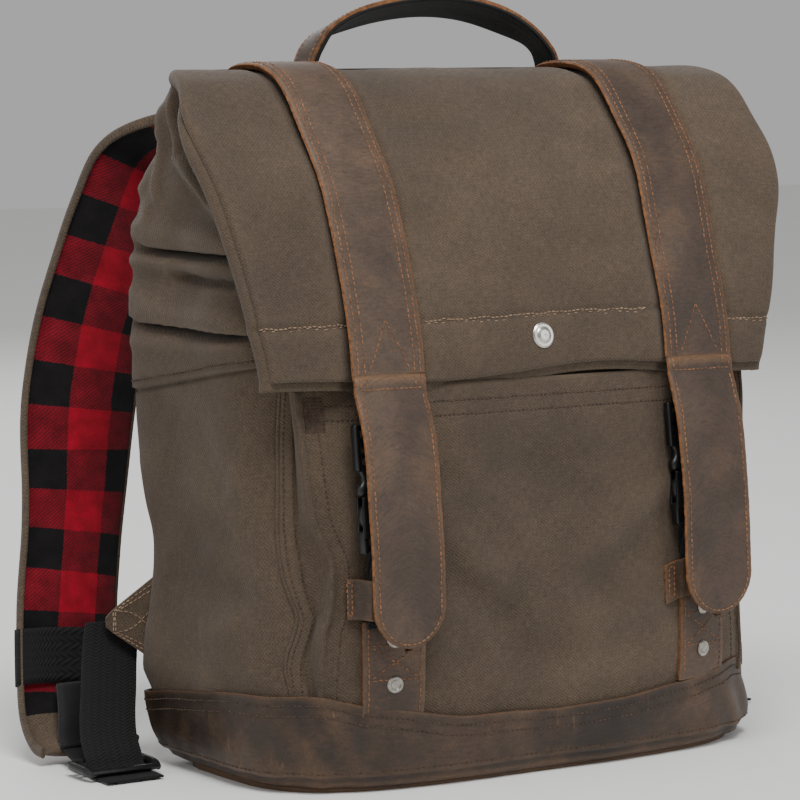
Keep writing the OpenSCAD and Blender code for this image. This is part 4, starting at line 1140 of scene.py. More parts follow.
STITCH_IN, STITCH_IN2 = 4.0, 8.2
TPv = np.array([[-79.4,238.5],[-80.6,230.6],[-85.0,220],[-89.9,205],[-94.1,180],[-96.9,156],[-99.2,130],[-100.2,105],[-100.8,84]])
tip_prof = spline(TPv, 90)
LT = np.concatenate([[0], np.cumsum(np.linalg.norm(np.diff(tip_prof, axis=0), axis=1))])
s_tip = float(np.interp(-240.0, -full[:, 1][LF > 120], LF[LF > 120]))      # parting just above the stitch line
for sg, nm in ((-1, "left"), (1, "right")):
    x0 = sg * 112.0
    # over the ridge
    sA = np.linspace(1.0, sT + 6, 34)
    prA = off_prof(sA, 3.9)
    prA[:, 0] = np.where((prA[:, 1] < 407) & (prA[:, 0] > 50), np.maximum(prA[:, 0], PB(prA[:, 1]) + 3.9), prA[:, 0])
    S, L = strap_from(prA, lambda v: 25.0, x0, sl=1.0)
    mb = MB(); mb.solid(S.P, S.N, 3.6, S.uv(), lambda r, c: 1 if c in (0, 15) else 0, 0, 1)
    for u in (-25 + STITCH_IN, -25 + STITCH_IN2, 25 - STITCH_IN, 25 - STITCH_IN2):
        mb.stitches(S, [(u, v) for v in np.linspace(1, L - 0.5, 20)], 3.35, 2.5, 0.36, 2)
    o = finish_piece(mb, "strap_over_ridge_" + nm, [strap_leather, raw_edge, thread_tan], "strap_leather", None, ("root", "flap_top", A0, A1), bevel=0.45)
    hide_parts("strap_anchor_" + nm, "strap_bridge_" + nm)
    # down the flap
    sB = np.linspace(sT + 6, s_tip, 96)
    S, L = strap_from(off_prof(sB, 3.9), lambda v: 25.0, x0, sl=sT + 6)
    mb = MB(); mb.solid(S.P, S.N, 3.6, S.uv(), lambda r, c: 1 if c in (0, 15) else 0, 0, 1)
    for u in (-25 + STITCH_IN, -25 + STITCH_IN2, 25 - STITCH_IN, 25 - STITCH_IN2):
        mb.stitches(S, [(u, v) for v in np.linspace(0.5, L - 0.5, 80)], 3.35, 2.5, 0.36, 2)
    # the crossing rows that hold the strap at the hem
    for a, b in (((-13.5, L - 3), (0, L - 31)), ((0, L - 31), (13.5, L - 3))):
        mb.stitches(S, [a, b], 3.3, 2.4, 0.34, 2)
    o = finish_piece(mb, "strap_leather_" + nm, [strap_leather, raw_edge, thread_tan], "strap_leather", None, ("flap_top", "flap_outer", B0, B1), bevel=0.45)
    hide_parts("strap_" + nm)
    # free end
    def hwf(v, Lt=LT[-1]):
        e = Lt - v
        return 25.0 if e >= 25 else math.sqrt(max(0.0, 625 - (25 - e) ** 2)) + 0.02
    e = np.concatenate([np.linspace(0, LT[-1] - 26, 62), LT[-1] - 25 + 25 * np.sin(np.linspace(0.02, 1.43, 20))])
    pr = np.stack([np.interp(e, LT, tip_prof[:, 0]), np.interp(e, LT, tip_prof[:, 1])], -1)
    pr[0] = off_prof(np.array([s_tip]), 3.9)[0]
    S, L = strap_from(pr, hwf, x0, noise=0.35)
    mb = MB(); mb.solid(S.P, S.N, 3.6, S.uv(), lambda r, c: 1 if c in (0, 15) else 0, 0, 1)
    # one row down each side and round the end
    yline = L - 25
    lo = 12.0
    row = [(-25 + STITCH_IN, v) for v in np.linspace(lo, yline, 50)]
    k = 25 - STITCH_IN
    arc = [(-math.cos(t) * k, yline + math.sin(t) * k) for t in np.linspace(0, math.pi, 30)]
    def fix(u, v):
        h = hwf(v)
        return (u / max(h, 0.5) * 25, v)
    loop = row + [fix(*p) for p in arc] + [(25 - STITCH_IN, v) for v in np.linspace(yline, lo, 50)]
    mb.stitches(S, loop, 3.35, 2.5, 0.36, 2)
    for v_ in (8.5,):
        mb.stitches(S, [(-21, v_), (21, v_)], 3.2, 2.4, 0.36, 2)
    for u in (-25 + STITCH_IN, -25 + STITCH_IN2, 25 - STITCH_IN, 25 - STITCH_IN2):
        mb.stitches(S, [(u, 0.6), (u, 7.5)], 3.35, 2.5, 0.36, 2)
    o = finish_piece(mb, "strap_end_" + nm, [strap_leather, raw_edge, thread_tan], "strap_leather", None, ("flap_outer", "strap_tip_" + nm, (x0, -76.5, 236), (x0, -82, 225)))
    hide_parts("strap_tip_" + nm)

# ---------------------------------------------------------------- tabs, keepers and webbing below the buckles
for sg, nm in ((-1, "left"), (1, "right")):
    x0 = sg * 112.0
    zz = np.linspace(45, 100, 26); xs = np.linspace(-19, 19, 13)
    P = np.zeros((len(zz), len(xs), 3))
    for i, z_ in enumerate(zz):
        P[i, :, 0] = x0 + xs; P[i, :, 1] = fy(x0 + xs, z_, PV(z_)) - 3.1 - wav(np.column_stack([xs, xs * 0 + z_, xs * 0 + x0]), 30, 2) * 0.2; P[i, :, 2] = z_
    S = surf(P, xs, zz, np.array([0, -1.0, 0]))
    mb = MB(); mb.solid(S.P, S.N, 2.5, S.uv(), 0, 0, 1)
    for u in (-15.8, 15.8):
        mb.stitches(S, [(u, v) for v in np.linspace(47, 97, 12)], 3.2, 2.4, 0.34, 2)
    mb.stitches(S, [(-15.8, 97.2), (15.8, 97.2)], 3.2, 2.4, 0.34, 2)
    if True:
        mb.stitches(S, [(-14, 67), (14, 85)], 3.2, 2.4, 0.34, 2); mb.stitches(S, [(-14, 85), (14, 67)], 3.2, 2.4, 0.34, 2)
        mb.stitches(S, [(-14, 66), (14, 66)], 3.2, 2.4, 0.34, 2); mb.stitches(S, [(-14, 86), (14, 86)], 3.2, 2.4, 0.34, 2)
    o = finish_piece(mb, "lower_tab_leather_" + nm, [strap_leather, raw_edge, thread_tan], "strap_leather", "root", bevel=0.4)
    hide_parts("lower_tab_" + nm)
    # keeper: flat stitched feet and a band standing over the webbing
    xk = np.concatenate([np.linspace(-27 if sg < 0 else -31, -22, 7), np.linspace(-20.5, -17.5, 4), np.linspace(-14, 14, 9), np.linspace(17.5, 20.5, 4), np.linspace(22, 31, 7)])
    zz = np.linspace(101, 124, 12)
    P = np.zeros((len(zz), len(xk), 3))
    for i, z_ in enumerate(zz):
        yb = fy(x0 + xk, z_, PV(z_)) - 2.9
        top = min(float(fy(sg * 93, 112, PP(112))) - 4.6, -86.9) - 0.6
        k = sstep(-np.abs(xk), -22.3, -18.0)
        P[i, :, 0] = x0 + xk; P[i, :, 2] = z_ + xk * (0.26 if sg > 0 else -0.03)
        P[i, :, 1] = yb * (1 - k) + (top - 0.8 * (1 - (xk / 19) ** 2)) * k
    S = surf(P, xk, zz, np.array([0, -1.0, 0]))
    mb = MB(); mb.solid(S.P, S.N, 2.3, S.uv(), 0, 0, 1)
    for sx_ in (-1, 1):
        for u in (24.5, 28.5):
            mb.stitches(S, [(sx_ * u, 103), (sx_ * u, 122)], 3.0, 2.3, 0.36, 2)
        for v in (103.2, 121.8):
            mb.stitches(S, [(sx_ * 24.5, v), (sx_ * 29, v)], 2.6, 2.2, 0.36, 2)
    o = finish_piece(mb, "keeper_leather_" + nm, [strap_leather, raw_edge, thread_tan], "strap_leather", "root", bevel=0.4)
    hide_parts("keeper_loop_" + nm)


def at_buckle(sg, p):
    """Point of a buckle's own frame in the bag's frame."""
    p = np.asarray(p, float); t = math.radians(-8)
    y, z = p[..., 1] * math.cos(t) - p[..., 2] * math.sin(t), p[..., 1] * math.sin(t) + p[..., 2] * math.cos(t)
    return np.stack([p[..., 0] + sg * 112.0, y - 86.4, z + 156.0], -1)


def web_strip(mb, C, hw=18.8, t=1.5, out=(0, -1, 0), W=None, mat=0, cols=9):
    """Webbing along points C (N,3), width along W."""
    n = len(C); W = np.tile([1.0, 0, 0], (n, 1)) if W is None else W
    T = np.gradient(C, axis=0); T /= np.linalg.norm(T, axis=1)[:, None]
    Nn = np.cross(T, W); Nn /= np.linalg.norm(Nn, axis=1)[:, None]
    c = np.linspace(-1, 1, cols)
    P = C[:, None] + W[:, None] * (c * hw)[None, :, None] - Nn[:, None] * (0.25 * np.abs(c) ** 6)[None, :, None]
    L = np.concatenate([[0], np.cumsum(np.linalg.norm(np.diff(C, axis=0), axis=1))])
    N = normals(P); sgn = 1
    S = Surf(P, c * hw, L)
    mb.solid(S.P, S.N, t, S.uv(), mat, mat, mat)
    return S


for sg, nm in ((-1, "left"), (1, "right")):
    x0 = sg * 112.0
    yk = float(fy(sg * 93, 112, PP(112)))
    # lower webbing: from under the tab's end, through the keeper, round the bar and back
    bar = at_buckle(sg, [0, 0, -13])
    a = [[x0, yk - 1.4, 96.5], [x0, yk - 1.9, 101], [x0, yk - 2.5, 112], [x0, yk - 3.0, 124]]
    for t in np.linspace(-1.35, 1.45, 9):
        a.append(list(at_buckle(sg, [0, -4.1 * math.cos(t), -13 + 4.1 * math.sin(t)])))
    a += [list(at_buckle(sg, [0, -0.6 + 2.6, -12.5])), [x0, yk - 0.2, 134], [x0, yk + 0.2, 126], [x0, yk + 0.4, 110]]
    a = np.array(a); a[:, 0] = x0
    C = spline(a, 90)
    mb = MB()
    web_strip(mb, C, 18.4, 1.3)
    o = finish_piece(mb, "lower_webbing_loop_" + nm, [webbing], "webbing", None, ("root", "buckle_female_" + nm, (x0, -88, 127), (x0, -88, 139)))
    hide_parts("lower_webbing_" + nm, "female_webbing_" + nm)
    # upper webbing: laced through the bars of the male half, its end towards the strap
    pts = [[0, -3.4, 64], [0, -3.6, 57], [0, -3.4, 55.6], [0, 0.0, 52.0], [0, 3.4, 49.4], [0, 3.7, 46.8], [0, 3.3, 44.4], [0, 0.0, 42.8], [0, -3.3, 40.5], [0, -3.7, 37.5], [0, -3.9, 30.0], [0, -4.6, 25]]
    C = at_buckle(sg, spline(np.array(pts, float), 70)); C[:, 0] = x0
    mb = MB(); web_strip(mb, C, 18.4, 1.2)
    o = finish_piece(mb, "upper_webbing_" + nm, [webbing], "webbing", "buckle_male_" + nm)
    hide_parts("male_webbing_" + nm)

# ---------------------------------------------------------------- handle and its band
def arch_pts(n, hs=84.0, hr=41.0, skew=8.0):
    t = np.linspace(0, math.pi, n)
    x = -hs * spow(np.cos(t), 0.62); zz = hr * np.sin(t) ** 0.75
    x = x + skew * (zz / hr) ** 0.8
    return np.stack([x, zz], 1)


def smooth_arch(n, skew=7.0):
    """Side legs, soft corners and a gently bowed grip."""
    pts = [(-86, -1.5), (-84.5, 5), (-82, 13), (-76, 21.5), (-64, 28), (-46, 34), (-22, 38.6), (2, 40.4), (26, 38.8), (48, 34.2), (68, 27.6), (84, 20.0), (95, 11.5), (100, 4), (102, -1.5)]
    q = spline(np.array(pts, float), n)
    q[:, 0] += skew * np.clip(q[:, 1] / 40.0, 0, 1) + 4.0
    return q


A = smooth_arch(130)
T = np.gradient(A, axis=0); T /= np.linalg.norm(T, axis=1)[:, None]
nrm = np.stack([-T[:, 1], T[:, 0]], -1)
def handle_layer(off, hw, cols, bow):
    c = np.linspace(-1, 1, cols)
    P = np.zeros((len(A), cols, 3))
    yc_ = 66.0 - 2.0 + 0 * A[:, 0]
    tip_ = sstep(A[:, 1], 12, 34)       # the grip rolls so that its lining shows from the front
    for i in range(len(A)):
        d = off - bow * np.abs(c) ** 3
        P[i, :, 0] = A[i, 0] + nrm[i, 0] * d
        P[i, :, 2] = 412.2 + A[i, 1] + nrm[i, 1] * d
        P[i, :, 1] = yc_[i] + c * hw * (1 - 0.1 * tip_[i]) + wav(np.array([[A[i, 0], A[i, 1], 0]]), 60, 2)[0] * 0.3
        P[i, :, 2] -= c * hw * 0.5 * tip_[i]
    return surf(P, c * hw, np.concatenate([[0], np.cumsum(np.linalg.norm(np.diff(A, axis=0), axis=1))]), np.stack([np.broadcast_to(nrm[:, None, 0], P.shape[:2]), 0 * P[..., 0], np.broadcast_to(nrm[:, None, 1], P.shape[:2])], -1))
S = handle_layer(0.2, 10.2, 11, 0.9)
mb = MB(); mb.solid(S.P, S.N, 2.5, S.uv(), 0, 0, 1)
Ltot = float(np.max(S.V))
for u in (-7.4, 7.4):
    mb.stitches(S, [(u, v) for v in np.linspace(2, Ltot - 2, 80)], 3.3, 2.4, 0.34, 2)
o = finish_piece(mb, "handle_leather_strip", [strap_leather, raw_edge, thread_tan], "strap_leather", "handle", bevel=0.4)
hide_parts("handle_leather")
S = handle_layer(-2.5, 10.7, 9, 0.3)
mb = MB(); mb.solid(S.P, S.N, 2.2, S.uv(), 0, 0, 0)
o = finish_piece(mb, "handle_webbing_strip", [webbing_fine], "webbing", "handle")
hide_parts("handle_webbing")

# band across the back that holds the handle, the straps and the shoulder straps
xb = np.linspace(-151, 151, 90)
def band_piece(mb, z0, z1, off, t, mats, rows_=12, roundtop=True):
    zz = np.linspace(z0, z1, rows_)
    P = np.zeros((rows_, len(xb), 3))
    for i, z_ in enumerate(zz):
        strap = sstep(27 - np.abs(np.abs(xb) - 112), -3, 4)
        yb = YC + (np.maximum(PB(np.minimum(z_, 404)), 61.4) - YC) * (1 - np.minimum(0.999, np.abs(xb) / PA(z_)) ** 5) ** 0.2
        P[i, :, 0] = xb; P[i, :, 1] = yb + off + strap * 3.4; P[i, :, 2] = z_
    S = surf(P, xb, zz, np.array([0, 1.0, 0]))
    mb.solid(S.P, S.N, t, S.uv(), *mats)
    return S
mb = MB()
S = band_piece(mb, 383.5, 409.5, 3.2, 2.4, (0, 0, 1))
for v in (386.5, 390.5, 402.5, 406.5):
    mb.stitches(S, [(u, v) for u in np.linspace(-148, 148, 90)], 3.3, 2.4, 0.34, 2)
for u in (-148, 148):
    mb.stitches(S, [(u, 387), (u, 406)], 3.3, 2.4, 0.34, 2)
for xc in (-84, 96):      # box stitch over each handle end
    for a_, b_ in (((xc - 11, 387), (xc + 11, 406)), ((xc - 11, 406), (xc + 11, 387)), ((xc - 11, 387), (xc - 11, 406)), ((xc + 11, 387), (xc + 11, 406))):
        mb.stitches(S, [a_, b_], 3.0, 2.3, 0.34, 2)
band_piece(mb, 386, 411.6, 0.6, 1.6, (3, 3, 3))
o = finish_piece(mb, "handle_band_leather", [strap_leather, raw_edge, thread_tan, webbing_fine], "strap_leather", "root", bevel=0.4)
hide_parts("handle_band")

# ---------------------------------------------------------------- back pad
def cloth_puff(o, pin=None, pressure=3.0, frames=18, cap=5.0, stiff=12.0):
    """Blow up a closed padded piece a little, then keep the shape."""
    me = o.data
    base = np.array([v.co[:] for v in me.vertices])
    m = o.modifiers.new("cloth", "CLOTH")
    s = m.settings
    s.quality = 5; s.mass = 0.3; s.tension_stiffness = stiff; s.compression_stiffness = stiff * 0.5; s.shear_stiffness = 5; s.bending_stiffness = 0.35
    s.use_pressure = True; s.uniform_pressure_force = pressure
    s.effector_weights.gravity = 0.0
    m.collision_settings.use_collision = False
    if pin:
        s.vertex_group_mass = pin; s.pin_stiffness = 1.0
    m.point_cache.frame_start, m.point_cache.frame_end = 1, frames
    for fr in range(1, frames + 1):
        scene.frame_set(fr)
    dg = bpy.context.evaluated_depsgraph_get()
    ev = o.evaluated_get(dg).to_mesh()
    new = np.array([v.co[:] for v in ev.vertices])
    o.evaluated_get(dg).to_mesh_clear()
    o.modifiers.remove(m)
    scene.frame_set(1)
    d = new - base
    L = np.linalg.norm(d, axis=1)[:, None] + 1e-12
    d *= np.minimum(1.0, cap * MM / L)
    if np.all(np.isfinite(d)):
        me.vertices.foreach_set("co", (base + d).ravel())
        me.update()


def closed_pad(top, bottom, mat_top, mat_bot, uv_top, uv_bot):
    """Closed pad from two grids that share their border."""
    R, C = top.shape[:2]
    mb = MB()
    V = np.concatenate([top.reshape(-1, 3), bottom.reshape(-1, 3)])
    ids = np.arange(R * C).reshape(R, C)
    bid = ids + R * C
    brd = np.zeros((R, C), bool); brd[0] = brd[-1] = True; brd[:, 0] = brd[:, -1] = True
    bid = np.where(brd, ids, bid)
    used = np.unique(np.concatenate([ids.ravel(), bid.ravel()])); remap = -np.ones(len(V), int); remap[used] = np.arange(len(used))
    faces, mats, uvs = [], [], []
    for r in range(R - 1):
        for c in range(C - 1):
            faces.append([int(remap[ids[r, c]]), int(remap[ids[r, c + 1]]), int(remap[ids[r + 1, c + 1]]), int(remap[ids[r + 1, c]])]); mats.append(mat_top); uvs.append([uv_top[r][c], uv_top[r][c + 1], uv_top[r + 1][c + 1], uv_top[r + 1][c]])
            faces.append([int(remap[bid[r + 1, c]]), int(remap[bid[r + 1, c + 1]]), int(remap[bid[r, c + 1]]), int(remap[bid[r, c]])]); mats.append(mat_bot); uvs.append([uv_bot[r + 1][c], uv_bot[r + 1][c + 1], uv_bot[r][c + 1], uv_bot[r][c]])
    mb.add(V[used], faces, mats, uvs)
    return mb, remap, ids, bid


R_, C_ = 71, 65
zz = np.linspace(72, 348, R_); xx = np.linspace(-124, 124, C_)
top = np.zeros((R_, C_, 3)); bot = np.zeros((R_, C_, 3))
for i, z_ in enumerate(zz):
    hw = 124 - 3.5 * (abs(z_ - 210) / 138) ** 6 - 4 * sstep(z_, 250, 348)
    xr = xx / 124 * hw
    for j, x_ in enumerate(xr):
        yb = float(by(x_, z_)) + 1.3
        ex = min(1, (1 - abs(x_) / hw) * 9); ez = min(1, min(z_ - 72, 348 - z_) / 17.0)
        e = math.sqrt(max(0, ex * (2 - ex))) * math.sqrt(max(0, ez * (2 - ez)))
        ch = 1.0
        for xs_ in (-41, 41):
            ch -= 0.62 * math.exp(-((x_ - xs_) / 4.5) ** 2)
        for zs_ in (164, 256):
            ch -= 0.55 * math.exp(-((z_ - zs_) / 4.5) ** 2)
        hgt = 1.6 + 6.6 * e * max(0.25, ch)
        top[i, j] = (x_, yb + hgt * (0.15 + 0.85 * e), z_); bot[i, j] = (x_, yb - 0.3 * e, z_)
bot[0], bot[-1], bot[:, 0], bot[:, -1] = top[0], top[-1], top[:, 0], top[:, -1]
uvt = [[(xx[c] * MM, zz[r] * MM) for c in range(C_)] for r in range(R_)]
top_f, bot_f = top[:, ::-1], bot[:, ::-1]
uvf = [row[::-1] for row in uvt]
mbp, rm, ids_, bid_ = closed_pad(top_f, bot_f, 0, 1, uvf, uvf)
o = mbp.obj("back_pad_canvas", [canvas, canvas_in, thread_brown])
g = o.vertex_groups.new(name="pin")
pin = []
for r in range(R_):
    for c in range(C_):
        xq, zq = top_f[r, c, 0], top_f[r, c, 2]
        seam = min(abs(abs(xq) - 41), abs(zq - 164), abs(zq - 256)) < 2.2
        if r in (0, R_ - 1) or c in (0, C_ - 1) or seam:
            pin.append(int(rm[ids_[r, c]]))
        if bid_[r, c] != ids_[r, c]:
            pin.append(int(rm[bid_[r, c]]))
g.add(sorted(set(pin)), 1.0, "REPLACE")
cloth_puff(o, "pin", pressure=2.2, cap=3.2)
o.vertex_groups.clear()
s_ = o.modifiers.new("sub", "SUBSURF"); s_.levels = s_.render_levels = 1
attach(o, "root"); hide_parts("back_pad")
# piping and stitching of the back pad
S_bp = surf(top, xx, zz, np.array([0, 1.0, 0]))
mb = MB()
edge = [(-124, 72), (124, 72), (124, 348), (-124, 348), (-124, 72)]
for a_, b_ in zip(edge[:-1], edge[1:]):
    pts = [np.array(a_) + (np.array(b_) - np.array(a_)) * k / 60 for k in range(61)]
    P3 = np.array([S_bp.at(*p)[0] for p in pts]); P3[:, 1] -= 0.2
    mb.tube(P3, 1.5, 0, 8)
ins = 5.5
e2 = [(-124 + ins, 72 + ins), (124 - ins, 72 + ins), (124 - ins, 348 - ins), (-124 + ins, 348 - ins), (-124 + ins, 72 + ins)]
o_pipe = finish_piece(mb, "back_pad_piping", [canvas, thread_brown], "canvas", "root")
# the seams of the quilting are set in after the padding has settled
me = o.data
co = np.array([v.co[:] for v in me.vertices]) / MM
topi = np.array([rm[ids_[r, c]] for r in range(R_) for c in range(C_)]).reshape(R_, C_)
Ptop = co[topi][:, ::-1]
S_bp2 = surf(Ptop, xx, zz, np.array([0, 1.0, 0]))
mb = MB()
for xs_ in (-41, 41):
    mb.stitches(S_bp2, [(xs_, v) for v in np.linspace(78, 342, 60)], 3.6, 2.6, 0.36, 0)
for zs_ in (164, 256):
    mb.stitches(S_bp2, [(u, zs_) for u in np.linspace(-118, 118, 60)], 3.6, 2.6, 0.36, 0)
for a_, b_ in zip(e2[:-1], e2[1:]):
    mb.stitches(S_bp2, [a_, b_], 3.6, 2.6, 0.36, 0)
finish_piece(mb, "back_pad_stitching", [thread_brown], "canvas", "root")

# ---------------------------------------------------------------- shoulder straps
SP = np.array([[94.5,74.6,382.5],[96.5,84.5,385.8],[102.5,96,386.6],[120,116,382.5],[143,134,360],[156,142.5,327],[167,148,290],[178,151,250],[186,151,205],[190,149.5,157],[194.5,146,125],[201,140,87],[206,131,50],[210,120,24],[211,106,11],[211,92,8.6]], float)
SW = np.array([[1, (-0.02, -0.05, -0.12, -0.15)[i] if i < 4 else 0, (-0.1, -0.14, -0.2, -0.25, -0.25)[i] if i < 5 else -0.15 if i < 7 else -0.03] for i in range(len(SP))], float)
SW /= np.linalg.norm(SW, axis=1)[:, None]
NPAD = 190
CP = spline(SP, NPAD)
LP0 = np.concatenate([[0], np.cumsum(np.linalg.norm(np.diff(SP, axis=0), axis=1))])
LP = np.concatenate([[0], np.cumsum(np.linalg.norm(np.diff(CP, axis=0), axis=1))])
WP = np.stack([np.interp(LP / LP[-1] * LP0[-1], LP0, SW[:, k]) for k in range(3)], 1)
TPp = np.gradient(CP, axis=0); TPp /= np.linalg.norm(TPp, axis=1)[:, None]
WP = WP - TPp * np.sum(WP * TPp, axis=1)[:, None]; WP /= np.linalg.norm(WP, axis=1)[:, None]
NPn = np.cross(WP, TPp); NPn /= np.linalg.norm(NPn, axis=1)[:, None]
if NPn[100, 1] < 0:
    NPn = -NPn


def sp_at(zv):
    i = 60 + int(np.argmin(np.abs(CP[60:, 2] - zv)))
    return i


i_wrap0, i_wrap1 = sp_at(73), sp_at(41)
HWB = 5.5 * sstep(CP[:, 2], 120, 215) * (1 - sstep(CP[:, 2], 345, 376))       # a little wider over the shoulder
COLS = 17
sim_total = []
for sg, nm in ((-1, "left"), (1, "right")):
    flipx = np.array([sg, 1.0, 1.0])
    c = np.linspace(-1, 1, COLS); c = np.sign(c) * (1 - (1 - np.abs(c)) ** 1.35)
    top = np.zeros((NPAD, COLS, 3)); bot = np.zeros((NPAD, COLS, 3))
    for i in range(NPAD):
        hw = 33.0 - 4.5 * math.exp(-(LP[i] / 26.0) ** 2) + HWB[i]
        sq = 0.34 * math.exp(-((i - (i_wrap0 + i_wrap1) / 2) / 6.5) ** 2)
        endz = min(1.0, LP[i] / 16.0, (LP[-1] - LP[i]) / 12.0); endz = math.sqrt(max(0, endz * (2 - endz)))
        prof = (1 - np.abs(c) ** 3.2) ** 0.75
        q = np.column_stack([c * 33 * sg, np.full(COLS, LP[i]), np.full(COLS, 40.0 * sg)])
        wr = wav(q, 46, 3) * 0.55
        pk = (np.sin(LP[i] / 12.5 * 6.28 * 0.5 + 2.2 * math.sin(LP[i] / 37)) * 0.55 + 0.3 * np.sin(LP[i] / 7.7)) * (np.abs(c) ** 2) * (1 - np.abs(c) ** 6)
        up = (0.2 + (6.2 * prof + wr * prof) * (1 - sq)) * endz
        dn = (0.2 + (5.9 * prof + (wr * 1.2 + pk * 1.4) * prof ** 0.5) * (1 - sq)) * endz
        base_ = CP[i] * flipx
        w_ = WP[i] * flipx * sg; n_ = NPn[i] * flipx
        top[i] = base_ + w_ * (c * hw)[:, None] + n_ * (up - 0.3)[:, None]
        bot[i] = base_ + w_ * (c * hw)[:, None] - n_ * (dn + 0.3)[:, None]
        top[i, 0] = bot[i, 0] = base_ + w_ * c[0] * hw - n_ * 0.8
        top[i, -1] = bot[i, -1] = base_ + w_ * c[-1] * hw - n_ * 0.8
    top[0] = (top[0] + bot[0]) / 2; bot[0] = top[0]
    top[-1] = (top[-1] + bot[-1]) / 2; bot[-1] = top[-1]
    uvp = [[((c[j] * 33 + 9.0) * MM, LP[i] * MM) for j in range(COLS)] for i in range(NPAD)]
    Nt = normals(top)
    want = np.array([NPn[i] * flipx for i in range(NPAD)])
    if np.sum(Nt * want[:, None]) < 0:
        top, bot = top[:, ::-1], bot[:, ::-1]; uvp = [r[::-1] for r in uvp]
    mbq, rm2, idp, bidp = closed_pad(top, bot, 0, 1, uvp, uvp)
    o = mbq.obj("shoulder_strap_" + nm, [canvas, plaid])
    uvd = o.data.uv_layers.active.data; cut = LP[sp_at(23)] * MM
    for f_ in o.data.polygons:      # the folded-over foot of the strap is canvas on both faces
        if f_.material_index == 1 and min(uvd[l_].uv[1] for l_ in f_.loop_indices) > cut - 1e-5:
            f_.material_index = 0
    g = o.vertex_groups.new(name="pin")
    pin = []
    for r in range(NPAD):
        for cc in range(COLS):
            if cc in (0, COLS - 1) or r < 3 or r > NPAD - 4 or i_wrap0 - 1 <= r <= i_wrap1 + 1:
                pin.append(int(rm2[idp[r, cc]])); pin.append(int(rm2[bidp[r, cc]]))
    g.add(sorted(set(pin)), 1.0, "REPLACE")
    cloth_puff(o, "pin", pressure=2.4, cap=2.6)
    o.vertex_groups.clear()
    s_ = o.modifiers.new("sub", "SUBSURF"); s_.levels = s_.render_levels = 1
    BL = ("root", "shoulder_" + nm, (sg * 88, 84, 380), (sg * 104, 100, 380))
    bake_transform(o)
    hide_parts("shoulder_pad_" + nm, "shoulder_lining_" + nm)
    # canvas binding along both edges
    mb = MB()
    for sd in (-1, 1):
        E = np.array([CP[i] * flipx + WP[i] * flipx * sg * sd * (33.0 - 4.5 * math.exp(-(LP[i] / 26.0) ** 2) + HWB[i] - 0.5) - NPn[i] * flipx * 0.8 for i in range(2, NPAD - 1)])
        Wd = np.array([NPn[i] * flipx for i in range(2, NPAD - 1)])
        mb.tube(E, 1.75 if sd == sg else 0.9, 0, 12, squash=2.1, nrm=Wd)
    o = finish_piece(mb, "shoulder_binding_" + nm, [canvas], "canvas", None, BL)
    # webbing wrapped round the padded strap
    mb = MB()
    ii = np.linspace(i_wrap0 + 0.0, i_wrap1, 12)
    ring = []
    ang = np.linspace(0, 2 * math.pi, 49)[:-1]
    P = np.zeros((len(ii), 48, 3))
    for r, f in enumerate(ii):
        k = int(f)
        base_ = CP[k] * flipx; w_ = WP[k] * flipx * sg; n_ = NPn[k] * flipx
        a_ = spow(np.cos(ang), 0.62) * 35.3; b_ = spow(np.sin(ang), 0.8) * 7.4
        t_ = TPp[k] * flipx
        P[r] = base_ + w_ * a_[:, None] + n_ * (b_ - 0.2)[:, None] + t_ * (np.cos(ang) * -2.5 * sg)[:, None] * sg
    UVw = [[(j / 48 * 0.17, LP[int(ii[r])] * MM) for j, ang_ in enumerate(list(ang) + [6.28])] for r in range(len(ii))]
    UVw = [[(LP[int(ii[r])] * MM, j / 48 * 0.17) for j in range(49)] for r in range(len(ii))]
    Nr = normals(P, True)
    cen = P.mean(axis=1, keepdims=True)
    if np.sum(Nr * (P - cen)) < 0:
        Nr = -Nr
    mb.solid(P, Nr, 1.4, UVw, 0, 0, 0, closed=True)
    o = finish_piece(mb, "webbing_wrap_" + nm, [webbing, thread_black], "webbing", "shoulder_" + nm)
    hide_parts("web_wrap_" + nm)
    # folded twill end and the short webbing that carries the ladder lock
    mb = MB()
    a_ = np.array([[203, 116, 44], [208, 104.5, 30], [211.6, 98.0, 17.5], [213, 92.6, 9.8]]) * flipx
    C4 = spline(a_, 20)
    Wt = np.tile(np.array([1.0, 0, 0]), (20, 1))
    hwv = 19.5
    S = web_strip(mb, C4, hwv, 2.0, W=Wt, mat=1)
    b_ = np.array([[213, 92.6, 9.0], [215, 84, 8.2], [217, 76, 7.6], [218.6, 68, 7.2], [219.6, 62.4, 8.6], [219.8, 58.2, 8.0], [219.4, 60.0, 4.2], [218, 68, 3.9], [216, 80, 4.4]]) * flipx
    C5 = spline(b_, 46)
    web_strip(mb, C5, 18.6, 1.3, mat=0)
    o = finish_piece(mb, "lock_webbing_" + nm, [webbing, twill], "webbing", "shoulder_" + nm)
    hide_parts("lock_loop_" + nm)
    # adjuster webbing from the wing tab down to the lock
    mb = MB()
    ap = np.array([[196, 93.5, 84], [199.5, 90.5, 73], [204, 84.5, 59.5], [209, 76.5, 45.5], [214, 69.0, 32.5], [217.6, 61.5, 21], [219.2, 53.6, 11.4], [219.6, 50.2, 6.2], [219.8, 46, 2.9], [220, 40, 1.7], [220.2, 33, 1.6], [220.6, 24, 1.5]]) * flipx
    C6 = spline(ap, 90); C6[:, 2] = np.maximum(C6[:, 2], 1.45)
    web_strip(mb, C6, 18.6, 1.3, mat=0)
    o = finish_piece(mb, "adjuster_strip_" + nm, [webbing], "webbing", None, ("root", "shoulder_" + nm, (sg * 206, 86, 74), (sg * 218, 60, 22)))
    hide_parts("adjuster_webbing_" + nm)

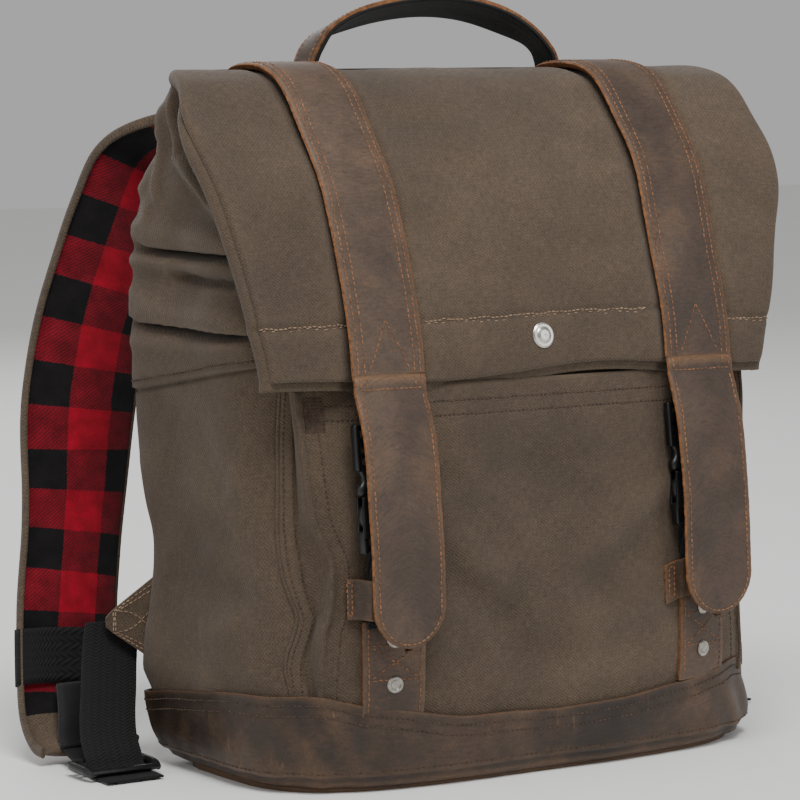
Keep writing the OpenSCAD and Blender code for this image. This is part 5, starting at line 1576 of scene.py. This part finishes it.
# ---------------------------------------------------------------- wing tabs
r145 = None
_t = math.radians(145)
_a = float(PA(80)); _b = float(PB(80)) - YC
wr_x, wr_y = _a * abs(math.cos(_t)) ** 0.4, YC + _b * abs(math.sin(_t)) ** 0.4
for sg, nm in ((-1, "left"), (1, "right")):
    ca, sa = math.cos(math.radians(24)), math.sin(math.radians(24))
    def wt(u, v, h):
        # u away from the bag, v up, h out of the plate (towards the front)
        X = wr_x + 1.5 + u * ca + h * sa
        Y = wr_y + 1.0 + u * sa - h * ca
        return np.stack([X * sg, Y, v + 0 * X], -1)
    outline = lambda u: (50.5 + 29.5 * (np.clip(u, 0, 40) / 40) ** 0.95, 118.0 - 2.0 * np.clip(u / 6, 0, 1) - 28.0 * np.clip((u - 6) / 35, 0, 1))
    us_ = np.concatenate([np.linspace(-3.5, 38, 30), [39.4, 40.4, 41.0]])
    vs_ = np.linspace(0, 1, 26)
    P = np.zeros((len(us_), len(vs_), 3))
    for i, u in enumerate(us_):
        lo_, hi_ = outline(max(0.0, u))
        rr = max(0.0, (u - 37) / 4.0)
        lo2 = lo_ + (hi_ - lo_) * 0.16 * rr ** 2; hi2 = hi_ - (hi_ - lo_) * 0.16 * rr ** 2
        vv = lo2 + (hi2 - lo2) * vs_
        hh = 1.5 + wav(np.column_stack([np.full(26, u), vv, np.full(26, 9.0 * sg)]), 34, 5) * 0.5
        P[i] = wt(np.full(26, u), vv, hh)
    out = np.array([sa * sg, -ca, 0])
    S = surf(P, np.arange(26), np.arange(len(us_)), out)
    mb = MB(); mb.solid(S.P, S.N, 3.0, S.uv(), 0, 0, 0)
    Vmax = len(us_) - 1
    for k in (1.6, 3.4):
        mb.stitches(S, [(k, 3), (k, Vmax - 3.5 - k * 0.4), (25 - k, Vmax - 3.5 - k * 0.4), (25 - k, 3)], 3.0, 2.3, 0.34, 1)
    mb.stitches(S, [(4, 6), (21, Vmax - 6)], 3.0, 2.3, 0.34, 1); mb.stitches(S, [(21, 6), (4, Vmax - 6)], 3.0, 2.3, 0.34, 1)
    o = finish_piece(mb, "wing_tab_canvas_" + nm, [canvas, thread_beige], "canvas", "root", bevel=0.6)
    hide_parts("wing_tab_" + nm)


# ---------------------------------------------------------------- moulded buckles
def lofted(mb, secs, mat=0, n=32, p=3.4):
    """Closed solid through superelliptic sections (z, cx, cy, rx, ry)."""
    ang = np.arange(n) * 2 * math.pi / n
    P = np.array([np.stack([cx + rx * spow(np.cos(ang), 2 / p), cy + ry * spow(np.sin(ang), 2 / p), np.full(n, z_)], -1) for z_, cx, cy, rx, ry in secs])
    return P


def add_loft(mb, P, mat=0):
    R, n = P.shape[:2]
    faces = [[r * n + c, r * n + (c + 1) % n, (r + 1) * n + (c + 1) % n, (r + 1) * n + c] for r in range(R - 1) for c in range(n)]
    V = np.concatenate([P.reshape(-1, 3), P[0].mean(0)[None], P[-1].mean(0)[None]])
    faces += [[c, R * n, (c + 1) % n] for c in range(n)] + [[(R - 1) * n + c, (R - 1) * n + (c + 1) % n, R * n + 1] for c in range(n)]
    mb.add(V, faces, [mat] * len(faces), [[(0, 0)] * len(f) for f in faces])


def rbox(mb, x0, x1, y0, y1, z0, z1, e=0.8, tr=None, mat=0, p=6.0, n=28):
    cx, cy, rx, ry = (x0 + x1) / 2, (y0 + y1) / 2, (x1 - x0) / 2, (y1 - y0) / 2
    e = min(e, rx * 0.8, ry * 0.8, (z1 - z0) / 2.2)
    secs = []
    for k in range(5):
        a = math.pi / 2 * k / 4
        secs.append((z0 + e * (1 - math.sin(a)), cx, cy, rx - e * (1 - math.cos(a)) if False else rx - e * (1 - math.sin(a)) * 1.0 - e * 0.0, ry - e * (1 - math.sin(a))))
    secs = [(z0 + e * (1 - math.cos(math.pi / 2 * k / 4)), cx, cy, rx - e * (1 - math.sin(math.pi / 2 * k / 4)), ry - e * (1 - math.sin(math.pi / 2 * k / 4))) for k in range(5)]
    secs += [(z1 - e * (1 - math.cos(math.pi / 2 * k / 4)), cx, cy, rx - e * (1 - math.sin(math.pi / 2 * k / 4)), ry - e * (1 - math.sin(math.pi / 2 * k / 4))) for k in range(4, -1, -1)]
    P = lofted(mb, secs, p=p, n=n)
    add_loft(mb, tr(P) if tr else P, mat)


def rod(mb, a, b, r, tr=None, mat=0):
    pts = np.linspace(a, b, 14)
    if tr:
        pts = tr(pts)
    mb.tube(pts, r, mat, 16)


for sg, nm in ((-1, "left"), (1, "right")):
    tr = lambda P, sg=sg: at_buckle(sg, np.asarray(P, float) * np.array([1.12, 1.0, 1.0]))
    # female half: two crowned shells, side ribs, the bar and its block
    mb = MB()
    def shell(y_out, sgn_):
        zz = np.linspace(-7.0, 16.4, 22); xs = np.linspace(-1, 1, 25)
        P = np.zeros((22, 25, 3))
        for i, z_ in enumerate(zz):
            hw = 22.9 - 1.1 * sstep(z_, 4, 16.4) - 0.8 * bellf(z_, 4, 5)
            P[i, :, 0] = xs * hw
            crown = 1.25 * (1 - np.abs(xs) ** 2.6)
            lip = 0.5 * bellf(z_, 14.8, 1.2) - 0.5 * bellf(z_, -3.2, 1.0)
            thumb = -0.8 * np.exp(-((xs * 22) / 8.5) ** 2 - ((z_ - 5) / 6.5) ** 2)
            P[i, :, 1] = sgn_ * (3.55 + crown * 0.95 + lip * 0.5 + thumb)
            P[i, :, 2] = z_ - 1.6 * bellf(xs, 0, 0.35) * sstep(z_, 12, 16.4)
        S = surf(P, xs, zz, np.array([0, float(sgn_), 0]))
        mb.solid(S.P, S.N, 1.5, S.uv(), 0, 0, 0)
        Q = mb.v[-1]; mb.v[-1] = tr(Q)
    shell(-4.7, -1); shell(4.7, 1)
    for e in (-1, 1):
        rbox(mb, min(e * 19.6, e * 23), max(e * 19.6, e * 23), -3.1, 3.1, -15.8, -2.6, 1.2, tr, p=4)
        rbox(mb, min(e * 6.6, e * 8), max(e * 6.6, e * 8), -3.2, 3.2, -3, 16.2, 0.4, tr)
    rod(mb, [-21.5, 0, -13], [21.5, 0, -13], 2.25, tr)
    rbox(mb, -22.9, 22.9, -4.4, 4.4, -7.4, -2.9, 1.3, tr, p=5)
    o = finish_piece(mb, "buckle_female_shell_" + nm, [plastic], "buckle_plastic", "buckle_female_" + nm, bevel=0.3)
    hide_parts("buckle_female_" + nm)
    # male half
    mb = MB()
    secs = [(17.0, 0, 0, 21.4, 3.0), (17.6, 0, 0, 22.5, 3.9), (18.6, 0, 0, 22.9, 4.3), (21.8, 0, 0, 22.9, 4.3), (23.4, 0, 0, 21.9, 3.9), (25.0, 0, 0, 20.4, 3.4), (28, 0, 0, 19.9, 3.3), (31, 0, 0, 21.2, 3.0), (33.4, 0, 0, 22.8, 2.8), (34.6, 0, 0, 22.2, 2.2)]
    add_loft(mb, tr(lofted(mb, secs, p=4.2, n=40)))
    rbox(mb, -4.5, 4.5, -2.5, 2.5, -0.5, 18, 1.0, tr)
    for e in (-1, 1):
        rbox(mb, min(e * 19.6, e * 23), max(e * 19.6, e * 23), -2.6, 2.6, 31, 57.8, 1.2, tr, p=4)
    for zb in (38, 46, 54):
        rbox(mb, -22.6, 22.6, -2.4, 2.4, zb + 0.1, zb + 3.6, 1.1, tr, p=3)
    o = finish_piece(mb, "buckle_male_body_" + nm, [plastic], "buckle_plastic", "buckle_male_" + nm)
    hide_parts("buckle_male_" + nm)
    for e, ab in ((1, "a"), (-1, "b")):
        mb = MB()
        pl = [(14.6, -1.2, 1.3), (17.6, -1.0, 2.6), (20.2, 2.2, 3.1), (21.0, 6.2, 3.0), (20.2, 9.6, 2.6), (17.2, 11.6, 2.2), (15.2, 13.6, 2.1), (14.6, 16.4, 2.0)]
        Cq = spline(np.array([[a_[0], a_[1]] for a_ in pl]), 26); rr = np.interp(np.linspace(0, 7, 26), np.arange(8), [a_[2] for a_ in pl])
        pts = np.stack([Cq[:, 0] * e, 0 * Cq[:, 0], Cq[:, 1]], -1)
        # flat arm with a rounded finger pad
        ang = np.arange(16) * math.pi / 8
        Tq = np.gradient(pts, axis=0); Tq /= np.linalg.norm(Tq, axis=1)[:, None]
        Bq = np.cross(Tq, np.array([0, 1.0, 0]))
        P = np.array([pts[i] + Bq[i] * (rr[i] * 0.62) * spow(np.cos(ang), 0.7)[:, None] + np.array([0, 1.0, 0]) * 2.45 * spow(np.sin(ang), 0.6)[:, None] for i in range(26)])
        add_loft(mb, tr(P))
        o = finish_piece(mb, "buckle_prong_" + nm + "_" + ab, [plastic], "buckle_plastic", "prong_" + nm + "_" + ab)
        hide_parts("prong_" + nm + "_" + ab)
    # ladder lock at the foot of the shoulder strap
    mb = MB()
    x0 = sg * 220.0
    for e in (-1, 1):
        pts = np.array([[x0 + e * 22.4, 63.0, 6.4], [x0 + e * 23.0, 58, 6.6], [x0 + e * 23.0, 48, 6.3], [x0 + e * 22.6, 40, 5.4], [x0 + e * 21.8, 36.6, 4.9]])
        mb.tube(spline(pts, 20), np.interp(np.linspace(0, 1, 20), [0, 0.12, 0.8, 1], [1.6, 2.7, 2.6, 1.6]), 0, 14, squash=1.15, nrm=np.tile([0, 0, 1.0], (20, 1)))
    mb.tube(np.linspace([x0 - 23, 60, 6.5], [x0 + 23, 60, 6.5], 10), 2.2, 0, 14)
    mb.tube(np.linspace([x0 - 23, 52.8, 6.8], [x0 + 23, 52.8, 6.8], 10), 2.0, 0, 14, squash=1.25, nrm=np.tile([0, 0, 1.0], (10, 1)))
    lip = np.array([[x0 - 23, 38.4, 5.2], [x0 - 10, 37.4, 5.4], [x0, 37.1, 5.5], [x0 + 10, 37.4, 5.4], [x0 + 23, 38.4, 5.2]])
    mb.tube(spline(lip, 16), 2.5, 0, 14, squash=0.78, nrm=np.tile([0, 0, 1.0], (16, 1)))
    o = finish_piece(mb, "ladder_lock_frame_" + nm, [plastic], "buckle_plastic", "lock_" + nm)
    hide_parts("ladder_lock_" + nm)

# ---------------------------------------------------------------- CAD nodes that stay
def give(node, mat, bevel=0.0, smooth=True):
    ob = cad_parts[node]
    for s in ob.material_slots:
        s.material = mat
    if bevel:
        b = ob.modifiers.new("bevel", "BEVEL"); b.width = bevel * MM; b.segments = 2; b.limit_method = "ANGLE"; b.angle_limit = math.radians(35)
give("snap_cap", metal, 0.15)
give("snap_stud", metal_dark, 0.15)
give("rivets", metal_mid, 0.15)
give("base_panel", base_leather, 0.8)
give("base_board", twill, 0.4)

# ---------------------------------------------------------------- stage
me = bpy.data.meshes.new("floor")
n = 24
vv = [((i / n - 0.5) * 12, (j / n - 0.5) * 12, 0.0) for j in range(n + 1) for i in range(n + 1)]
ff = [[j * (n + 1) + i, j * (n + 1) + i + 1, (j + 1) * (n + 1) + i + 1, (j + 1) * (n + 1) + i] for j in range(n) for i in range(n)]
me.from_pydata(vv, [], ff)
floor = bpy.data.objects.new("floor", me); scene.collection.objects.link(floor)
kf = Nodes("floor_pale")
kf.color((0.86, 0.86, 0.85, 1)); kf.rough(0.9)
me.materials.append(kf.m)
world = bpy.data.worlds.new("world"); scene.world = world; world.use_nodes = True
world.node_tree.nodes["Background"].inputs["Color"].default_value = (1.0, 1.0, 1.0, 1)
world.node_tree.nodes["Background"].inputs["Strength"].default_value = 0.45


def area(name, loc, aim, size, power, color=(1, 1, 1)):
    l = bpy.data.lights.new(name, "AREA"); l.shape = "RECTANGLE"; l.size, l.size_y = size; l.energy = power; l.color = color
    o = bpy.data.objects.new(name, l); scene.collection.objects.link(o)
    o.location = loc; o.rotation_euler = (Vector(aim) - Vector(loc)).to_track_quat("-Z", "Y").to_euler()
    return o


area("key", (-0.6, -1.15, 2.45), (0, 0, 0.24), (1.3, 1.0), 60)
area("fill", (1.3, -2.1, 0.9), (0, 0, 0.2), (1.4, 1.4), 12)
area("side", (-2.2, 0.1, 1.2), (0, 0, 0.2), (1.2, 1.4), 7)
area("rear", (0.4, 2.2, 1.5), (0, 0, 0.25), (1.6, 1.2), 18)
